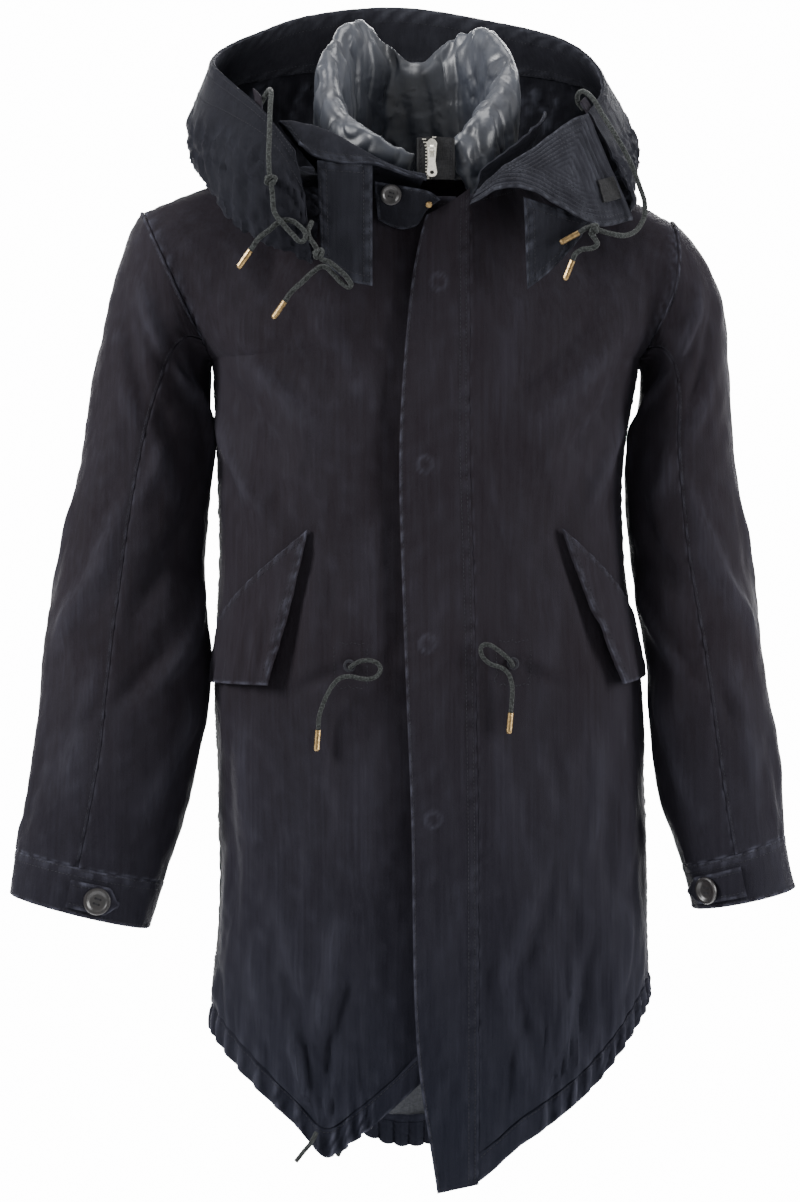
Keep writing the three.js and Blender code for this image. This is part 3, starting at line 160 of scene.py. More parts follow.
SLEEVE_FOLDS = table("along round slope long wide high", [
    (1.6, 110, 30, 40, 0.3, 4), (2.5, 150, 22, 42, 0.3, -4), (4.1, 140, -18, 45, 0.22, 4.5),
    (4.7, 60, 12, 45, 0.22, -4), (5.4, 120, 10, 50, 0.24, -4), (4.4, 260, 12, 50, 0.24, 4.5),
    (5.1, 290, -12, 45, 0.24, -4), (2.0, 250, -25, 40, 0.28, 4)])

# Small soft ridges, and troughs with a height below zero, over the solids' large folds. Each runs from one
# place to another across and up, in millimetres, and has a width and a height.
CREASE_COLUMNS = "x0 z0 x1 z1 wide high"
FRONT_CREASES = table(CREASE_COLUMNS, [
    (-176, -175, -120, -255, 7, -2.2), (-165, -160, -92, -232, 8, 1.6), (-186, -205, -142, -300, 6, 1.9),
    (-184, -240, -160, -330, 6, -1.7), (-150, -140, -60, -180, 9, -1.2), (-100, -100, -40, -210, 12, 1.1),
    (178, -170, 120, -250, 7, -2.2), (168, -150, 96, -228, 8, 1.6), (182, -205, 142, -300, 6, 1.9),
    (150, -120, 70, -200, 9, -1.2), (96, -90, 62, -230, 10, 1.1), (168, -262, 150, -350, 6, -1.5),
    (-80, -330, -96, -452, 10, -1.1), (-46, -300, -40, -420, 12, 0.9), (-120, -455, -60, -430, 6, -1.5),
    (60, -300, 70, -420, 10, -1.0), (128, -452, 74, -428, 6, -1.5), (110, -350, 96, -470, 9, 0.9),
    (-160, -470, -150, -600, 9, 1.6), (-176, -500, -168, -660, 7, -1.6), (-100, -480, -84, -590, 10, -1.1),
    (-52, -500, -46, -640, 11, 1.2), (-140, -610, -110, -720, 9, 1.3), (-74, -640, -100, -760, 7, 1.9),
    (-60, -690, -84, -800, 6, -1.7), (-128, -690, -98, -800, 6, -1.6), (-40, -610, -34, -740, 9, -1.1),
    (-118, -742, -96, -822, 5, 2.0), (-78, -742, -88, -820, 5, 1.8), (-150, -660, -140, -760, 6, 1.4),
    (62, -480, 76, -610, 10, 1.1), (150, -480, 140, -600, 9, 1.5), (172, -500, 164, -650, 7, -1.5),
    (96, -620, 60, -720, 8, 1.5), (112, -600, 84, -700, 7, -1.4), (70, -690, 96, -800, 6, 1.6),
    (130, -680, 112, -780, 7, 1.7), (150, -660, 128, -760, 6, -1.6), (90, -720, 70, -830, 6, -1.5),
    (178, -640, 170, -724, 5, 1.5), (54, -620, 58, -740, 8, -1.0), (110, -500, 118, -590, 9, -1.0)])
BACK_CREASES = table(CREASE_COLUMNS, [
    (-170, -180, -110, -262, 8, -2.0), (-160, -150, -84, -232, 9, 1.5), (172, -176, 112, -258, 8, -2.0),
    (158, -146, 86, -226, 9, 1.5), (-60, -120, -30, -260, 13, 1.0), (52, -110, 34, -250, 13, -1.0),
    (-90, -420, -76, -560, 10, 1.2), (96, -410, 84, -560, 10, 1.3), (20, -430, 30, -600, 12, -1.2),
    (-150, -520, -138, -660, 8, -1.5), (156, -520, 144, -660, 8, -1.6), (-30, -620, -50, -790, 9, 1.4),
    (60, -640, 84, -790, 8, 1.4), (-96, -650, -80, -780, 7, -1.4), (110, -650, 96, -770, 7, -1.4),
    (0, -700, 12, -840, 8, 1.3), (-130, -690, -112, -780, 6, 1.5), (36, -720, 30, -850, 6, -1.3)])
# Creases of a sleeve: places along it in rings and round it in degrees, width in degrees, height in mm.
SLEEVE_CREASES = table("a0 r0 a1 r1 wide high", [
    (0.7, 60, 2.2, 150, 9, 1.8), (0.9, 40, 2.9, 120, 10, -1.5), (1.4, 130, 3.4, 170, 8, 1.7),
    (2.2, 60, 3.6, 130, 9, 1.2), (3.0, 110, 4.4, 60, 8, 1.6), (3.3, 150, 4.6, 90, 8, -1.7),
    (3.9, 100, 5.0, 30, 8, 1.5), (4.2, 170, 5.2, 110, 7, 1.7), (4.6, 130, 5.8, 60, 8, -1.5),
    (5.0, 80, 6.4, 60, 9, 1.1), (5.2, 150, 6.5, 120, 8, 1.2), (5.6, 40, 6.8, 20, 9, -1.0),
    (0.8, 300, 2.4, 210, 9, 1.8), (1.2, 320, 3.0, 240, 9, -1.5), (3.1, 250, 4.4, 300, 8, 1.6),
    (3.8, 200, 5.0, 270, 8, -1.6), (4.4, 320, 5.6, 260, 8, 1.5), (5.2, 230, 6.6, 250, 9, 1.1),
    (3.6, 20, 4.8, -20, 8, 1.3), (5.4, -10, 6.6, -30, 9, -1.0)])
SLEEVE_LINES = {
    "x0": SLEEVE_CREASES["r0"], "z0": SLEEVE_STEP * SLEEVE_CREASES["a0"], "x1": SLEEVE_CREASES["r1"],
    "z1": SLEEVE_STEP * SLEEVE_CREASES["a1"], "wide": SLEEVE_CREASES["wide"], "high": SLEEVE_CREASES["high"]}
BODY_CREASE = 2.5  # how far the ridges stand out of the cloth, as a multiple of their heights
FLY_CREASE = 0.6
SLEEVE_CREASE = 3.4
# The dark gaps that the open edges of the pockets' flaps leave
POCKET_TROUGHS = table(CREASE_COLUMNS, [(-100, -316, -125, -446, 6, -4), (113, -316, 151, -440, 6, -4)])
SNAPS = [(11, -98), (-1, -256), (1, -411), (6, -563)]  # the marks of the hidden fasteners, across and up


def mix(a, b, t):
    return a + (b - a) * t


def smooth(value, low, high):
    t = np.clip((value - low) / (high - low), 0, 1)
    return t * t * (3 - 2 * t)


def bell(off, wide, middle=0.0):
    """1 at a middle and falling smoothly to 0 on both sides of it."""
    return np.exp(-((off - middle) / wide) ** 2)


def cubic(a, b, slope_a, slope_b, t):
    rest = 1 - t
    ends = a * rest ** 2 * (1 + 2 * t) + b * t ** 2 * (1 + 2 * rest)
    return ends + (slope_a * rest - slope_b * t) * t * rest


def spline(values, place):
    """A smooth curve through evenly spaced values or points, at places counted in steps."""
    values, place = np.asarray(values, float), np.asarray(place, float)
    ends = np.concatenate([[2 * values[0] - values[1]], values, [2 * values[-1] - values[-2]]])
    i = np.clip(np.floor(place).astype(int), 0, len(ends) - 4)
    t = (place - i).reshape(place.shape + (1,) * (ends.ndim - 1))
    before, a, b, after = (ends[i + k] for k in range(4))
    return cubic(a, b, (b - before) / 2, (after - a) / 2, t)


def column(rows, key, over, value):
    """A smooth curve through a table's column, by another column that rises, level past its ends."""
    x, y = rows[over], rows[key]
    place = np.clip(value, x[0], x[-1])
    i = np.searchsorted(x[1:-1], place, side="left")
    high = np.minimum(np.arange(len(x)) + 1, len(x) - 1)
    low = np.maximum(np.arange(len(x)) - 1, 0)
    slope = (y[high] - y[low]) / (x[high] - x[low])
    span = x[i + 1] - x[i]
    return cubic(y[i], y[i + 1], slope[i] * span, slope[i + 1] * span, (place - x[i]) / span)


def through(points, t):
    return spline(points, np.asarray(t, float) * (len(points) - 1))


def lofted(sections):
    """A smooth surface through sections, each of them a row of points."""
    def surface(u, v):
        across = through(sections, u)
        lines = across.shape[-2]
        first = 2 * across[..., :1, :] - across[..., 1:2, :]
        last = 2 * across[..., -1:, :] - across[..., -2:-1, :]
        ends = np.concatenate([first, across, last], axis=-2)
        place = v * (lines - 1)
        i = np.clip(np.floor(place).astype(int), 0, lines - 2)
        before, a, b, after = (
            np.take_along_axis(ends, (i + k)[..., None, None], axis=-2)[..., 0, :] for k in range(4))
        return cubic(a, b, (b - before) / 2, (after - a) / 2, (place - i)[..., None])
    return surface


def between(lower, upper, bow=0):
    """A surface from one line of points to another, bowed towards the front."""
    lower, upper = np.array(lower, float), np.array(upper, float)

    def surface(u, v):
        point = mix(through(lower, u), through(upper, u), v[..., None])
        point[..., 1] -= bow * np.sin(np.pi * np.clip(v, 0, 1))
        return point
    return surface


def unit(vectors):
    return vectors / np.maximum(np.linalg.norm(vectors, axis=-1, keepdims=True), 1e-9)


def facing(surface, u, v, nudge=1e-3):
    """The directions that a surface faces."""
    along = surface(u + nudge, v) - surface(u - nudge, v)
    up = surface(u, v + nudge) - surface(u, v - nudge)
    return unit(np.cross(along, up))


def moved(surface, out):
    return lambda u, v: surface(u, v) + out * facing(surface, u, v)


def at(x, y, z):
    return np.stack(np.broadcast_arrays(np.asarray(x, float), y, z), axis=-1)


def ring(angle, z):
    """The body's ring at a level: 0 is the left side, 90 the back and 270 the front, in degrees."""
    left, right = column(BODY, "left", "z", z), column(BODY, "right", "z", z)
    turn = np.radians(angle)
    c, s = np.cos(turn), np.sin(turn)
    wide = (right - left) / 2
    deep = np.where(s < 0, column(BODY, "front", "z", z), column(BODY, "back", "z", z))
    reach = (np.abs(c / wide) ** ROUNDNESS + np.abs(s / deep) ** ROUNDNESS) ** (-1 / ROUNDNESS)
    return at((left + right) / 2 + reach * c, reach * s, z)


def front_angle(x, z):
    """The angle on the body's ring of a place across its front."""
    left, right = column(BODY, "left", "z", z), column(BODY, "right", "z", z)
    across = x - (left + right) / 2
    share = np.clip(np.abs(across / ((right - left) / 2)), 0, 1)
    deep = column(BODY, "front", "z", z) * (1 - share ** ROUNDNESS) ** (1 / ROUNDNESS)
    return 270 + np.degrees(np.arctan2(across, deep))


def relief(folds, x, z):
    """The height of the large folds."""
    height = 0
    for fx, fz, lean, long, wide, high in zip(*folds.values()):
        lean = math.radians(lean)
        along = (z - fz) * math.cos(lean) + (x - fx) * math.sin(lean)
        across = (x - fx) * math.cos(lean) - (z - fz) * math.sin(lean)
        height = height + high * np.exp(-(along / long) ** 2 - (across / wide) ** 2)
    return height


def creases(rows, x, z):
    """Ridges along short lines, each with soft ends and a slight bend."""
    height = 0
    for n, (x0, z0, x1, z1, wide, high) in enumerate(zip(*rows.values())):
        length = math.hypot(x1 - x0, z1 - z0)
        dx, dz = (x1 - x0) / length, (z1 - z0) / length
        t = ((x - x0) * dx + (z - z0) * dz) / length
        bend = 0.05 * length * math.sin(2.3 * n) * np.sin(np.pi * np.clip(t, 0, 1))
        off = (x - x0) * dz - (z - z0) * dx + bend
        ends = smooth(t, -0.12, 0.3) * (1 - smooth(t, 0.7, 1.12))
        height = height + high * ends * bell(off, wide)
    return height


def ripple(place, seed):
    """An uneven wave along a seam, between about -1 and 1."""
    rng = np.random.default_rng(seed)
    waves = [(rng.uniform(9, 26), rng.uniform(0, ANY_PHASE), rng.uniform(0.3, 0.6)) for _ in range(6)]
    return sum(size * np.sin(2 * np.pi * place / length + start) for length, start, size in waves) / 1.6


def crumple(points, seed, length, count=14, upright=0.45):
    """A smooth uneven field over points, between about -1 and 1, with more or less upright ridges."""
    rng = np.random.default_rng(seed)
    total = 0
    for _ in range(count):
        way = unit(rng.normal(size=3) * np.array([1, 1, upright]))
        wave = length * rng.uniform(0.6, 1.7)
        total = total + np.sin(points @ way * 2 * np.pi / wave + rng.uniform(0, ANY_PHASE))
    return total / math.sqrt(count)


def sharp_crumple(points, seed, length, steep, upright):
    """Like crumple, with narrow ridges between wide hollows."""
    return 1 - 2 * np.abs(np.tanh(steep * crumple(points, seed, length, upright=upright)))


def sleeve_ring(rows, outward, angle, place):
    """Points of a sleeve at angles round it and places along it, counted in rings from the armhole."""
    get = {key: spline(values, place) for key, values in rows.items() if key != "seam"}
    tilt, turn = np.radians(get["tilt"]), np.radians(angle)
    across = get["across"] * np.cos(turn)
    bow = ARMHOLE_SWELL[outward] * np.sin(turn) ** 2 * np.maximum(0, 1 - place / 1.5) ** 2
    return at(get["x"] + outward * (np.cos(tilt) * across + bow), get["y"] - get["deep"] * np.sin(turn),
              get["z"] + np.sin(tilt) * across)


SHOULDER_RIGHT = [(-252, 0, -25), (-176, 0, 4), (-100, 0, 8)]
SHOULDER_LEFT = [(84, 0, 6), (152, 0, 1), (219.7, 0, -33.4)]
NECK_RIGHT = [(-100, 0, 8), (-97, -68, 0), (-68, -108, -12), (-20, -120, -20), (26, -121, -22)]
NECK_LEFT = [(38.6, -121, -22), (70, -96, -12), (84, -52, -2), (84, 0, 6)]
NECK_BACK = [(84, 0, 6), (66, 62, 14), (-8, 92, 18), (-82, 62, 15), (-100, 0, 8)]


def top_edge(stretches):
    """A panel's upper edge: lines of points, each up to a share of the edge and with a shift in depth."""
    def edge(u):
        parts, start = [], 0
        for points, until, shift in stretches:
            part = through(np.array(points, float), (u - start) / (until - start))
            part[..., 1] += shift
            parts.append(part)
            start = until
        conditions = [(u <= until)[..., None] for _, until, _ in stretches]
        return np.select(conditions, parts, parts[-1])
    return edge


def panel(angles, hem, folds, top, left, right, back, fade):
    """A panel of the body, from the hem at 0 to the underarm at 1 and through the yoke to the top at 2."""
    def low(u, v):
        across = ring(angles(u, HEM_LEVEL), HEM_LEVEL)[..., 0]
        z = mix(column(hem, "z", "x", across) + CASING_DEPTH, UNDERARM_Z, v)
        return ring(angles(u, z), z)

    def yoke(u, v):
        h = v * v
        point = mix(low(u, 1), top(u), h[..., None])
        for edge, end, weight in ((left, 0, 1 - u), (right, 1, u)):
            corner = np.full_like(v, end)
            off = edge(v) - mix(low(corner, 1), top(corner), h[..., None])
            weight = np.clip(weight, 0, None)
            point = point + off * at(weight ** fade, weight ** fade, weight)
        return point

    def plain(u, v):
        return np.where((v <= 1)[..., None], low(u, v), yoke(u, v - 1))

    def surface(u, v):
        point = plain(u, v)
        out = facing(plain, np.clip(u, MARGIN, 1 - MARGIN), np.clip(v, MARGIN, 2 - MARGIN))
        calm = np.clip(np.minimum(np.minimum(8 * u, 8 * (1 - u)), 3 * (2 - v)), 0, 1)
        lift = relief(folds, point[..., 0], point[..., 2]) * calm - back(point[..., 0])
        return point + out * lift[..., None]
    return surface


def armhole_edge(rows, outward, start):
    return lambda v: sleeve_ring(rows, outward, mix(180, start, v), np.zeros_like(v))


def sewn_at(z):
    return column(FLY_EDGE, "sewn", "z", z) + FLY_GAP


def front_edge(across_at):
    def edge(v):
        z = mix(UNDERARM_Z, NECK_FRONT[1], v)
        low = ring(front_angle(across_at(np.array(UNDERARM_Z)), UNDERARM_Z), UNDERARM_Z)
        return at(across_at(z), mix(low[..., 1], NECK_FRONT[0], v), z)
    return edge


def lap_back(x):
    return FLY_LAP * smooth(x, -75, -30)


def no_lap(x):
    return 0


def angles_right(u, z):
    return mix(180 + SEAM_ANGLE, front_angle(FRONT_RIGHT_EDGE, z), u)


def angles_left(u, z):
    return mix(front_angle(sewn_at(z), z), 360 - SEAM_ANGLE, u)


def angles_back(u, z):
    return mix(SEAM_ANGLE, 180 - SEAM_ANGLE, u)


front_right = panel(
    angles_right, HEM_FRONT_RIGHT, FRONT_FOLDS,
    top_edge([(SHOULDER_RIGHT, 0.34, -SEAM_GAP),
              (NECK_RIGHT, 1, -SEAM_GAP)]),
    armhole_edge(SLEEVE_RIGHT, -1, 0),
    front_edge(lambda z: np.full_like(z, FRONT_RIGHT_EDGE, dtype=float)),
    lap_back, FRONT_YOKE)
front_left = panel(
    angles_left, HEM_FRONT_LEFT, FRONT_FOLDS,
    top_edge([(NECK_LEFT, 0.6, -SEAM_GAP),
              (SHOULDER_LEFT, 1, -SEAM_GAP)]),
    front_edge(sewn_at), armhole_edge(SLEEVE_LEFT, 1, 0), no_lap, FRONT_YOKE)
back_panel = panel(
    angles_back, HEM_BACK, BACK_FOLDS,
    top_edge([(SHOULDER_LEFT[::-1], 0.3, SEAM_GAP),
              (NECK_BACK, 0.7, SEAM_GAP),
              (SHOULDER_RIGHT[::-1], 1, SEAM_GAP)]),
    armhole_edge(SLEEVE_LEFT, 1, 360), armhole_edge(SLEEVE_RIGHT, -1, 360), no_lap, BACK_YOKE)


# The panels round the neck, with the columns of each that end there
NECK_PARTS = ((front_right, 15, 15, 5), (back_panel, 22, 15, 7), (front_left, 12, 7, 0))


def neck_points():
    parts = []
    for skin, count, start, end in NECK_PARTS:
        u = np.linspace(start, end, abs(start - end) + 1) / count
        parts.append(skin(u, np.full_like(u, 2.0)))
    points = np.concatenate(parts)
    clear_of_fly = (points[:, 0] <= NECK_AXIS_X) | (points[:, 1] > 0) | (points[:, 0] > 30)
    return points[clear_of_fly]


NECK_LINE = neck_points()
NECK_TURNS = np.arctan2(NECK_LINE[:, 0] - NECK_AXIS_X, NECK_LINE[:, 1])


def neck_seam(near, inward, rise):
    """Points of the neck's edge beside some points, moved inward and up."""
    turn = np.arctan2(near[..., 0] - NECK_AXIS_X, near[..., 1])
    point = np.stack([np.interp(turn, NECK_TURNS, NECK_LINE[:, k]) for k in range(3)], axis=-1)
    middle = at(NECK_AXIS_X, 0, point[..., 2])
    point = point + unit(middle - point) * np.asarray(inward)[..., None]
    point[..., 2] += rise
    return point


def sewn_to_neck(surface, inward, rise):
    """A surface whose foot is brought to the neck's edge."""
    def drawn(u, v):
        foot = surface(u, np.zeros_like(v))
        off = neck_seam(foot, np.full_like(u, inward), rise) - foot
        return surface(u, v) + off * ((1 - np.clip(v, 0, 1)) ** NECK_FADE)[..., None]
    return drawn


def front_point(x, z):
    low_z = np.minimum(z, UNDERARM_Z)
    low = ring(front_angle(x, low_z), low_z)
    rise = np.maximum(0, (z - UNDERARM_Z) / (NECK_FRONT[1] - UNDERARM_Z))
    return at(x, mix(low[..., 1], NECK_FRONT[0], rise), z)


def fly(u, v):
    z = mix(mix(FLY_BOTTOM[0], FLY_BOTTOM[1], u), mix(FLY_TOP[0], FLY_TOP[1], u), v)
    x = mix(column(FLY_EDGE, "free", "z", z), column(FLY_EDGE, "sewn", "z", z), u)
    return front_point(x, z)


def gathers(u, count, start, end):
    """The waves of a gathered edge, and the share of them that shows."""
    wave = np.cos(2 * np.pi * count * u + 1.7 * np.sin(9 * u))
    return wave, smooth(u, start - GATHER_FADE, start) * (1 - smooth(u, end, end + GATHER_FADE))


def casing(angles, hem, gathered, back):
    def hem_at(u):
        return column(hem, "z", "x", ring(angles(u, HEM_LEVEL), HEM_LEVEL)[..., 0])

    def surface(u, v):
        wave, show = gathers(u, *gathered)
        z = mix(hem_at(u) + 1.2 * wave * show, hem_at(u) + CASING_DEPTH, v)
        point = ring(angles(u, z), z)
        inside = np.clip(u, MARGIN, 1 - MARGIN)
        out = facing(lambda a, b: ring(angles(a, b * 100), b * 100), inside, z / 100)
        tuck = mix(0.9, TUCK_IN, smooth(u, 0, 0.05)) * smooth(v, 0.94, 1.04)
        puff = 0.6 * np.sin(np.pi * np.clip(v, 0, 1)) - tuck
        lift = 2.1 * wave * show * mix(1, 0.35, v) + puff - back(point[..., 0])
        return point + out * lift[..., None]
    return surface


def sleeve_surface(rows, outward):
    def surface(angle, place):
        out = facing(lambda a, b: sleeve_ring(rows, outward, a * 100, b), angle / 100, place) * -outward
        calm = np.clip(np.minimum(place * 1.5 - 0.6, (7 - place) * 2), 0, 1)
        height = 0
        for along, round_, slope, long, wide, high in zip(*SLEEVE_FOLDS.values()):
            turn = (angle - round_ + 540) % 360 - 180
            off = (place - along - turn / 100 * slope / 100) / wide
            height = height + high * np.exp(-(off ** 2) - (turn / long) ** 2)
        point = sleeve_ring(rows, outward, angle, place) + out * (height * calm)[..., None]
        point[..., 0] += outward * ARMHOLE_GAP * np.maximum(0, 1 - place)
        return point
    return surface


def cuff_surface(rows, outward):
    def point(a, b):
        return sleeve_ring(rows, outward, a * 100, CUFF_PLACE + b)

    def surface(angle, v):
        out = facing(point, angle / 100, v) * outward
        return point(angle / 100, v) + CLOTH * out
    return surface


def off_body(angle, z, out):
    """Points at distances off the body's front, over its large folds."""
    normal = facing(lambda a, b: ring(a * 100, b * 100), angle / 100, z / 100)
    point = ring(angle, z)
    lift = out + np.maximum(0, relief(FRONT_FOLDS, point[..., 0], z))
    return point + normal * lift[..., None]


# Materials

def paint(name, **values):
    made = bpy.data.materials.new(name)
    made.use_nodes = True
    shader = made.node_tree.nodes["Principled BSDF"]
    for socket, value in values.items():
        shader.inputs[socket.replace("_", " ")].default_value = value
    return made, shader


class Nodes:
    """Short names for the nodes of one material."""

    def __init__(self, made):
        self.tree = made.node_tree
        self.place = self.add("ShaderNodeTexCoord").outputs["Object"]

    def add(self, kind, **values):
        node = self.tree.nodes.new(kind)
        for key, value in values.items():
            setattr(node, key, value)
        return node

    def link(self, start, end):
        self.tree.links.new(start, end)

    def noise(self, stretch, detail=2.0, rough=0.5, low=0.3, high=0.7):
        """Noise of so many cells a metre along each axis, spread from 0 to 1."""
        mapping = self.add("ShaderNodeMapping")
        mapping.inputs["Scale"].default_value = stretch
        self.link(self.place, mapping.inputs["Vector"])
        noise = self.add("ShaderNodeTexNoise")
        noise.inputs["Scale"].default_value = 1
        noise.inputs["Detail"].default_value = detail
        noise.inputs["Roughness"].default_value = rough
        self.link(mapping.outputs["Vector"], noise.inputs["Vector"])
        return self.span(noise.outputs["Fac"], low, high)

    def span(self, value, low, high, start=0.0, end=1.0):
        node = self.add("ShaderNodeMapRange")
        for key, number in (("From Min", low), ("From Max", high), ("To Min", start), ("To Max", end)):
            node.inputs[key].default_value = number
        self.link(value, node.inputs["Value"])
        return node.outputs["Result"]

    def height(self):
        split = self.add("ShaderNodeSeparateXYZ")
        self.link(self.place, split.inputs["Vector"])
        return split.outputs["Z"]

    def blend(self, share, a, b):
        node = self.add("ShaderNodeMix", data_type="RGBA")
        self.link(share, node.inputs[0])
        for colour, socket in ((a, node.inputs[6]), (b, node.inputs[7])):
            if isinstance(colour, tuple):
                socket.default_value = (*colour, 1)
            else:
                self.link(colour, socket)
        return node.outputs[2]

    def times(self, a, b):
        node = self.add("ShaderNodeMath", operation="MULTIPLY")
        for value, socket in ((a, node.inputs[0]), (b, node.inputs[1])):
            if isinstance(value, (int, float)):
                socket.default_value = value
            else:
                self.link(value, socket)
        return node.outputs[0]

    def plus(self, a, b):
        node = self.add("ShaderNodeMath", operation="ADD")
        self.link(a, node.inputs[0])
        self.link(b, node.inputs[1])
        return node.outputs[0]

    def attribute(self, name):
        return self.add("ShaderNodeAttribute", attribute_name=name).outputs["Fac"]

    def bump(self, shader, height, strength, distance):
        node = self.add("ShaderNodeBump")
        node.inputs["Strength"].default_value = strength
        node.inputs["Distance"].default_value = distance
        self.link(height, node.inputs["Height"])
        self.link(node.outputs["Normal"], shader.inputs["Normal"])


def brushed_cloth(name, chest, hem, pale, sheen):
    """Garment-dyed brushed cotton: upright streaks, soft cloudy tint, fuzz, pale worn seams and painted
    highlights on raised folds.
    """
    made, shader = paint(name, Sheen_Weight=sheen, Sheen_Roughness=0.45, Sheen_Tint=(0.62, 0.62, 0.78, 1),
                         Specular_IOR_Level=0.04)
    n = Nodes(made)
    streaks = n.noise((320, 320, 9), 3, 0.6)
    clouds = n.noise((14, 14, 9), 3, 0.55)
    fuzz = n.noise((1700, 1700, 1300), 2, 0.6)
    level = n.span(n.height(), -0.82, -0.42)
    tint = n.blend(level, hem, chest)
    tint = n.blend(n.times(clouds, 0.07), tint, pale)
    streaky = n.blend(n.times(streaks, 0.08), tint, pale)
    grainy = n.blend(n.times(fuzz, 0.07), streaky, pale)
    # Paler by the attribute: worn seams, and painted highlights on the ridges of folds and gathers.
    paled = n.blend(n.times(n.attribute("wear"), n.span(streaks, 0, 1, 0.45, 1.0)), grainy, pale)
    n.link(paled, shader.inputs["Base Color"])
    n.link(n.span(clouds, 0, 1, 0.86, 0.74), shader.inputs["Roughness"])
    n.bump(shader, n.plus(n.times(fuzz, 0.6), n.times(streaks, 0.5)), 0.45, 0.0005)
    return made


def shiny_nylon():
    made, shader = paint("nylon", Specular_IOR_Level=0.45, Sheen_Weight=0.05, Coat_Weight=0.04,
                         Coat_Roughness=0.35)
    n = Nodes(made)
    clouds = n.noise((60, 60, 45), 3, 0.55)
    ribs = n.noise((1500, 1500, 900), 1, 0.5)
    wrinkles = n.noise((120, 120, 50), 2, 0.5)
    colour = n.blend(clouds, (0.0068, 0.0083, 0.0130), (0.0125, 0.0155, 0.0235))
    # Paler by the attribute, which on the collar is a painted highlight on its ridges against painted shade
    # in its troughs.
    paled = n.blend(n.times(n.attribute("wear"), 0.3), colour, (0.030, 0.034, 0.044))
    n.link(paled, shader.inputs["Base Color"])
    n.link(n.span(clouds, 0, 1, 0.37, 0.48), shader.inputs["Roughness"])
    n.bump(shader, n.plus(n.times(ribs, 0.10), wrinkles), 0.22, 0.0009)
    return made


def braided_cord():
    made, shader = paint("cord", Sheen_Weight=0.04, Specular_IOR_Level=0.15)
    n = Nodes(made)
    mapping = n.add("ShaderNodeMapping")
    mapping.inputs["Scale"].default_value = (620, 620, 620)
    n.link(n.place, mapping.inputs["Vector"])
    cells = n.add("ShaderNodeTexVoronoi", feature="F1")
    cells.inputs["Scale"].default_value = 1
    n.link(mapping.outputs["Vector"], cells.inputs["Vector"])
    plait = n.span(cells.outputs["Distance"], 0.1, 0.8, 1.0, 0.0)
    n.link(n.blend(plait, (0.0030, 0.0036, 0.0036), (0.0190, 0.0220, 0.0210)), shader.inputs["Base Color"])
    n.link(n.span(plait, 0, 1, 0.8, 0.62), shader.inputs["Roughness"])
    n.bump(shader, plait, 0.8, 0.0007)
    return made


def worn_metal(name, dark, bright, roughness):
    made, shader = paint(name, Metallic=1.0)
    n = Nodes(made)
    spots = n.noise((380, 380, 380), 4, 0.6)
    n.link(n.blend(spots, dark, bright), shader.inputs["Base Color"])
    n.link(n.span(spots, 0, 1, roughness + 0.14, roughness), shader.inputs["Roughness"])
    n.bump(shader, n.noise((900, 900, 900), 2), 0.12, 0.0003)
    return made


def horn():
    made, shader = paint("horn", Specular_IOR_Level=0.4, Coat_Weight=0.1, Coat_Roughness=0.3)
    n = Nodes(made)
    veins = n.noise((190, 190, 60), 4, 0.65)
    n.link(n.blend(veins, (0.003, 0.0028, 0.003), (0.014, 0.012, 0.012)), shader.inputs["Base Color"])
    n.link(n.span(veins, 0, 1, 0.42, 0.3), shader.inputs["Roughness"])
    n.bump(shader, veins, 0.15, 0.0003)
    return made


def woven(name, dark, light, cells, rough=0.85):
    """A plain tight weave, for tape, thread and lining."""
    made, shader = paint(name, Sheen_Weight=0.03, Specular_IOR_Level=0.12)
    n = Nodes(made)
    warp = n.noise((cells, cells, cells / 4), 2)
    weft = n.noise((cells / 4, cells / 4, cells), 2)
    both = n.times(n.plus(warp, weft), 0.5)
    n.link(n.blend(both, dark, light), shader.inputs["Base Color"])
    n.link(n.span(both, 0, 1, rough, rough - 0.12), shader.inputs["Roughness"])
    n.bump(shader, both, 0.5, 0.0004)
    return made


SHELL = brushed_cloth("shell", chest=(0.0054, 0.0037, 0.0046), hem=(0.0022, 0.0027, 0.0052),
                      pale=(0.036, 0.037, 0.050), sheen=0.022)
FACING = brushed_cloth("facing", chest=(0.0050, 0.0050, 0.0070), hem=(0.0050, 0.0054, 0.0078),
                       pale=(0.044, 0.046, 0.056), sheen=0.030)
UPPER = brushed_cloth("shell_upper", chest=(0.0028, 0.0028, 0.0040), hem=(0.0028, 0.0028, 0.0040),
                      pale=(0.034, 0.036, 0.047), sheen=0.020)
NYLON = shiny_nylon()
CORD = braided_cord()
BRASS = worn_metal("brass", (0.08, 0.052, 0.024), (0.30, 0.205, 0.095), 0.3)
SILVER = worn_metal("silver_metal", (0.42, 0.40, 0.35), (0.78, 0.75, 0.68), 0.26)
HORN = horn()
TAPE = woven("tape", (0.003, 0.003, 0.0035), (0.011, 0.011, 0.012), 900)
LINING = woven("lining", (0.014, 0.015, 0.018), (0.034, 0.036, 0.041), 1100)
THREAD = woven("thread", (0.004, 0.004, 0.0055), (0.014, 0.014, 0.018), 2400)


# Meshes

def placed(name, data):
    piece = bpy.data.objects.new(name, data)
    bpy.context.scene.collection.objects.link(piece)
    return piece


def tube_faces(count, sides, closed=False):
    """Quads between neighbouring rings of points. A closed tube joins its last ring to its first."""
    pairs = [(i * sides, (i + 1) % count * sides) for i in range(count if closed else count - 1)]
    return [(a + k, a + (k + 1) % sides, b + (k + 1) % sides, b + k)
            for a, b in pairs for k in range(sides)]


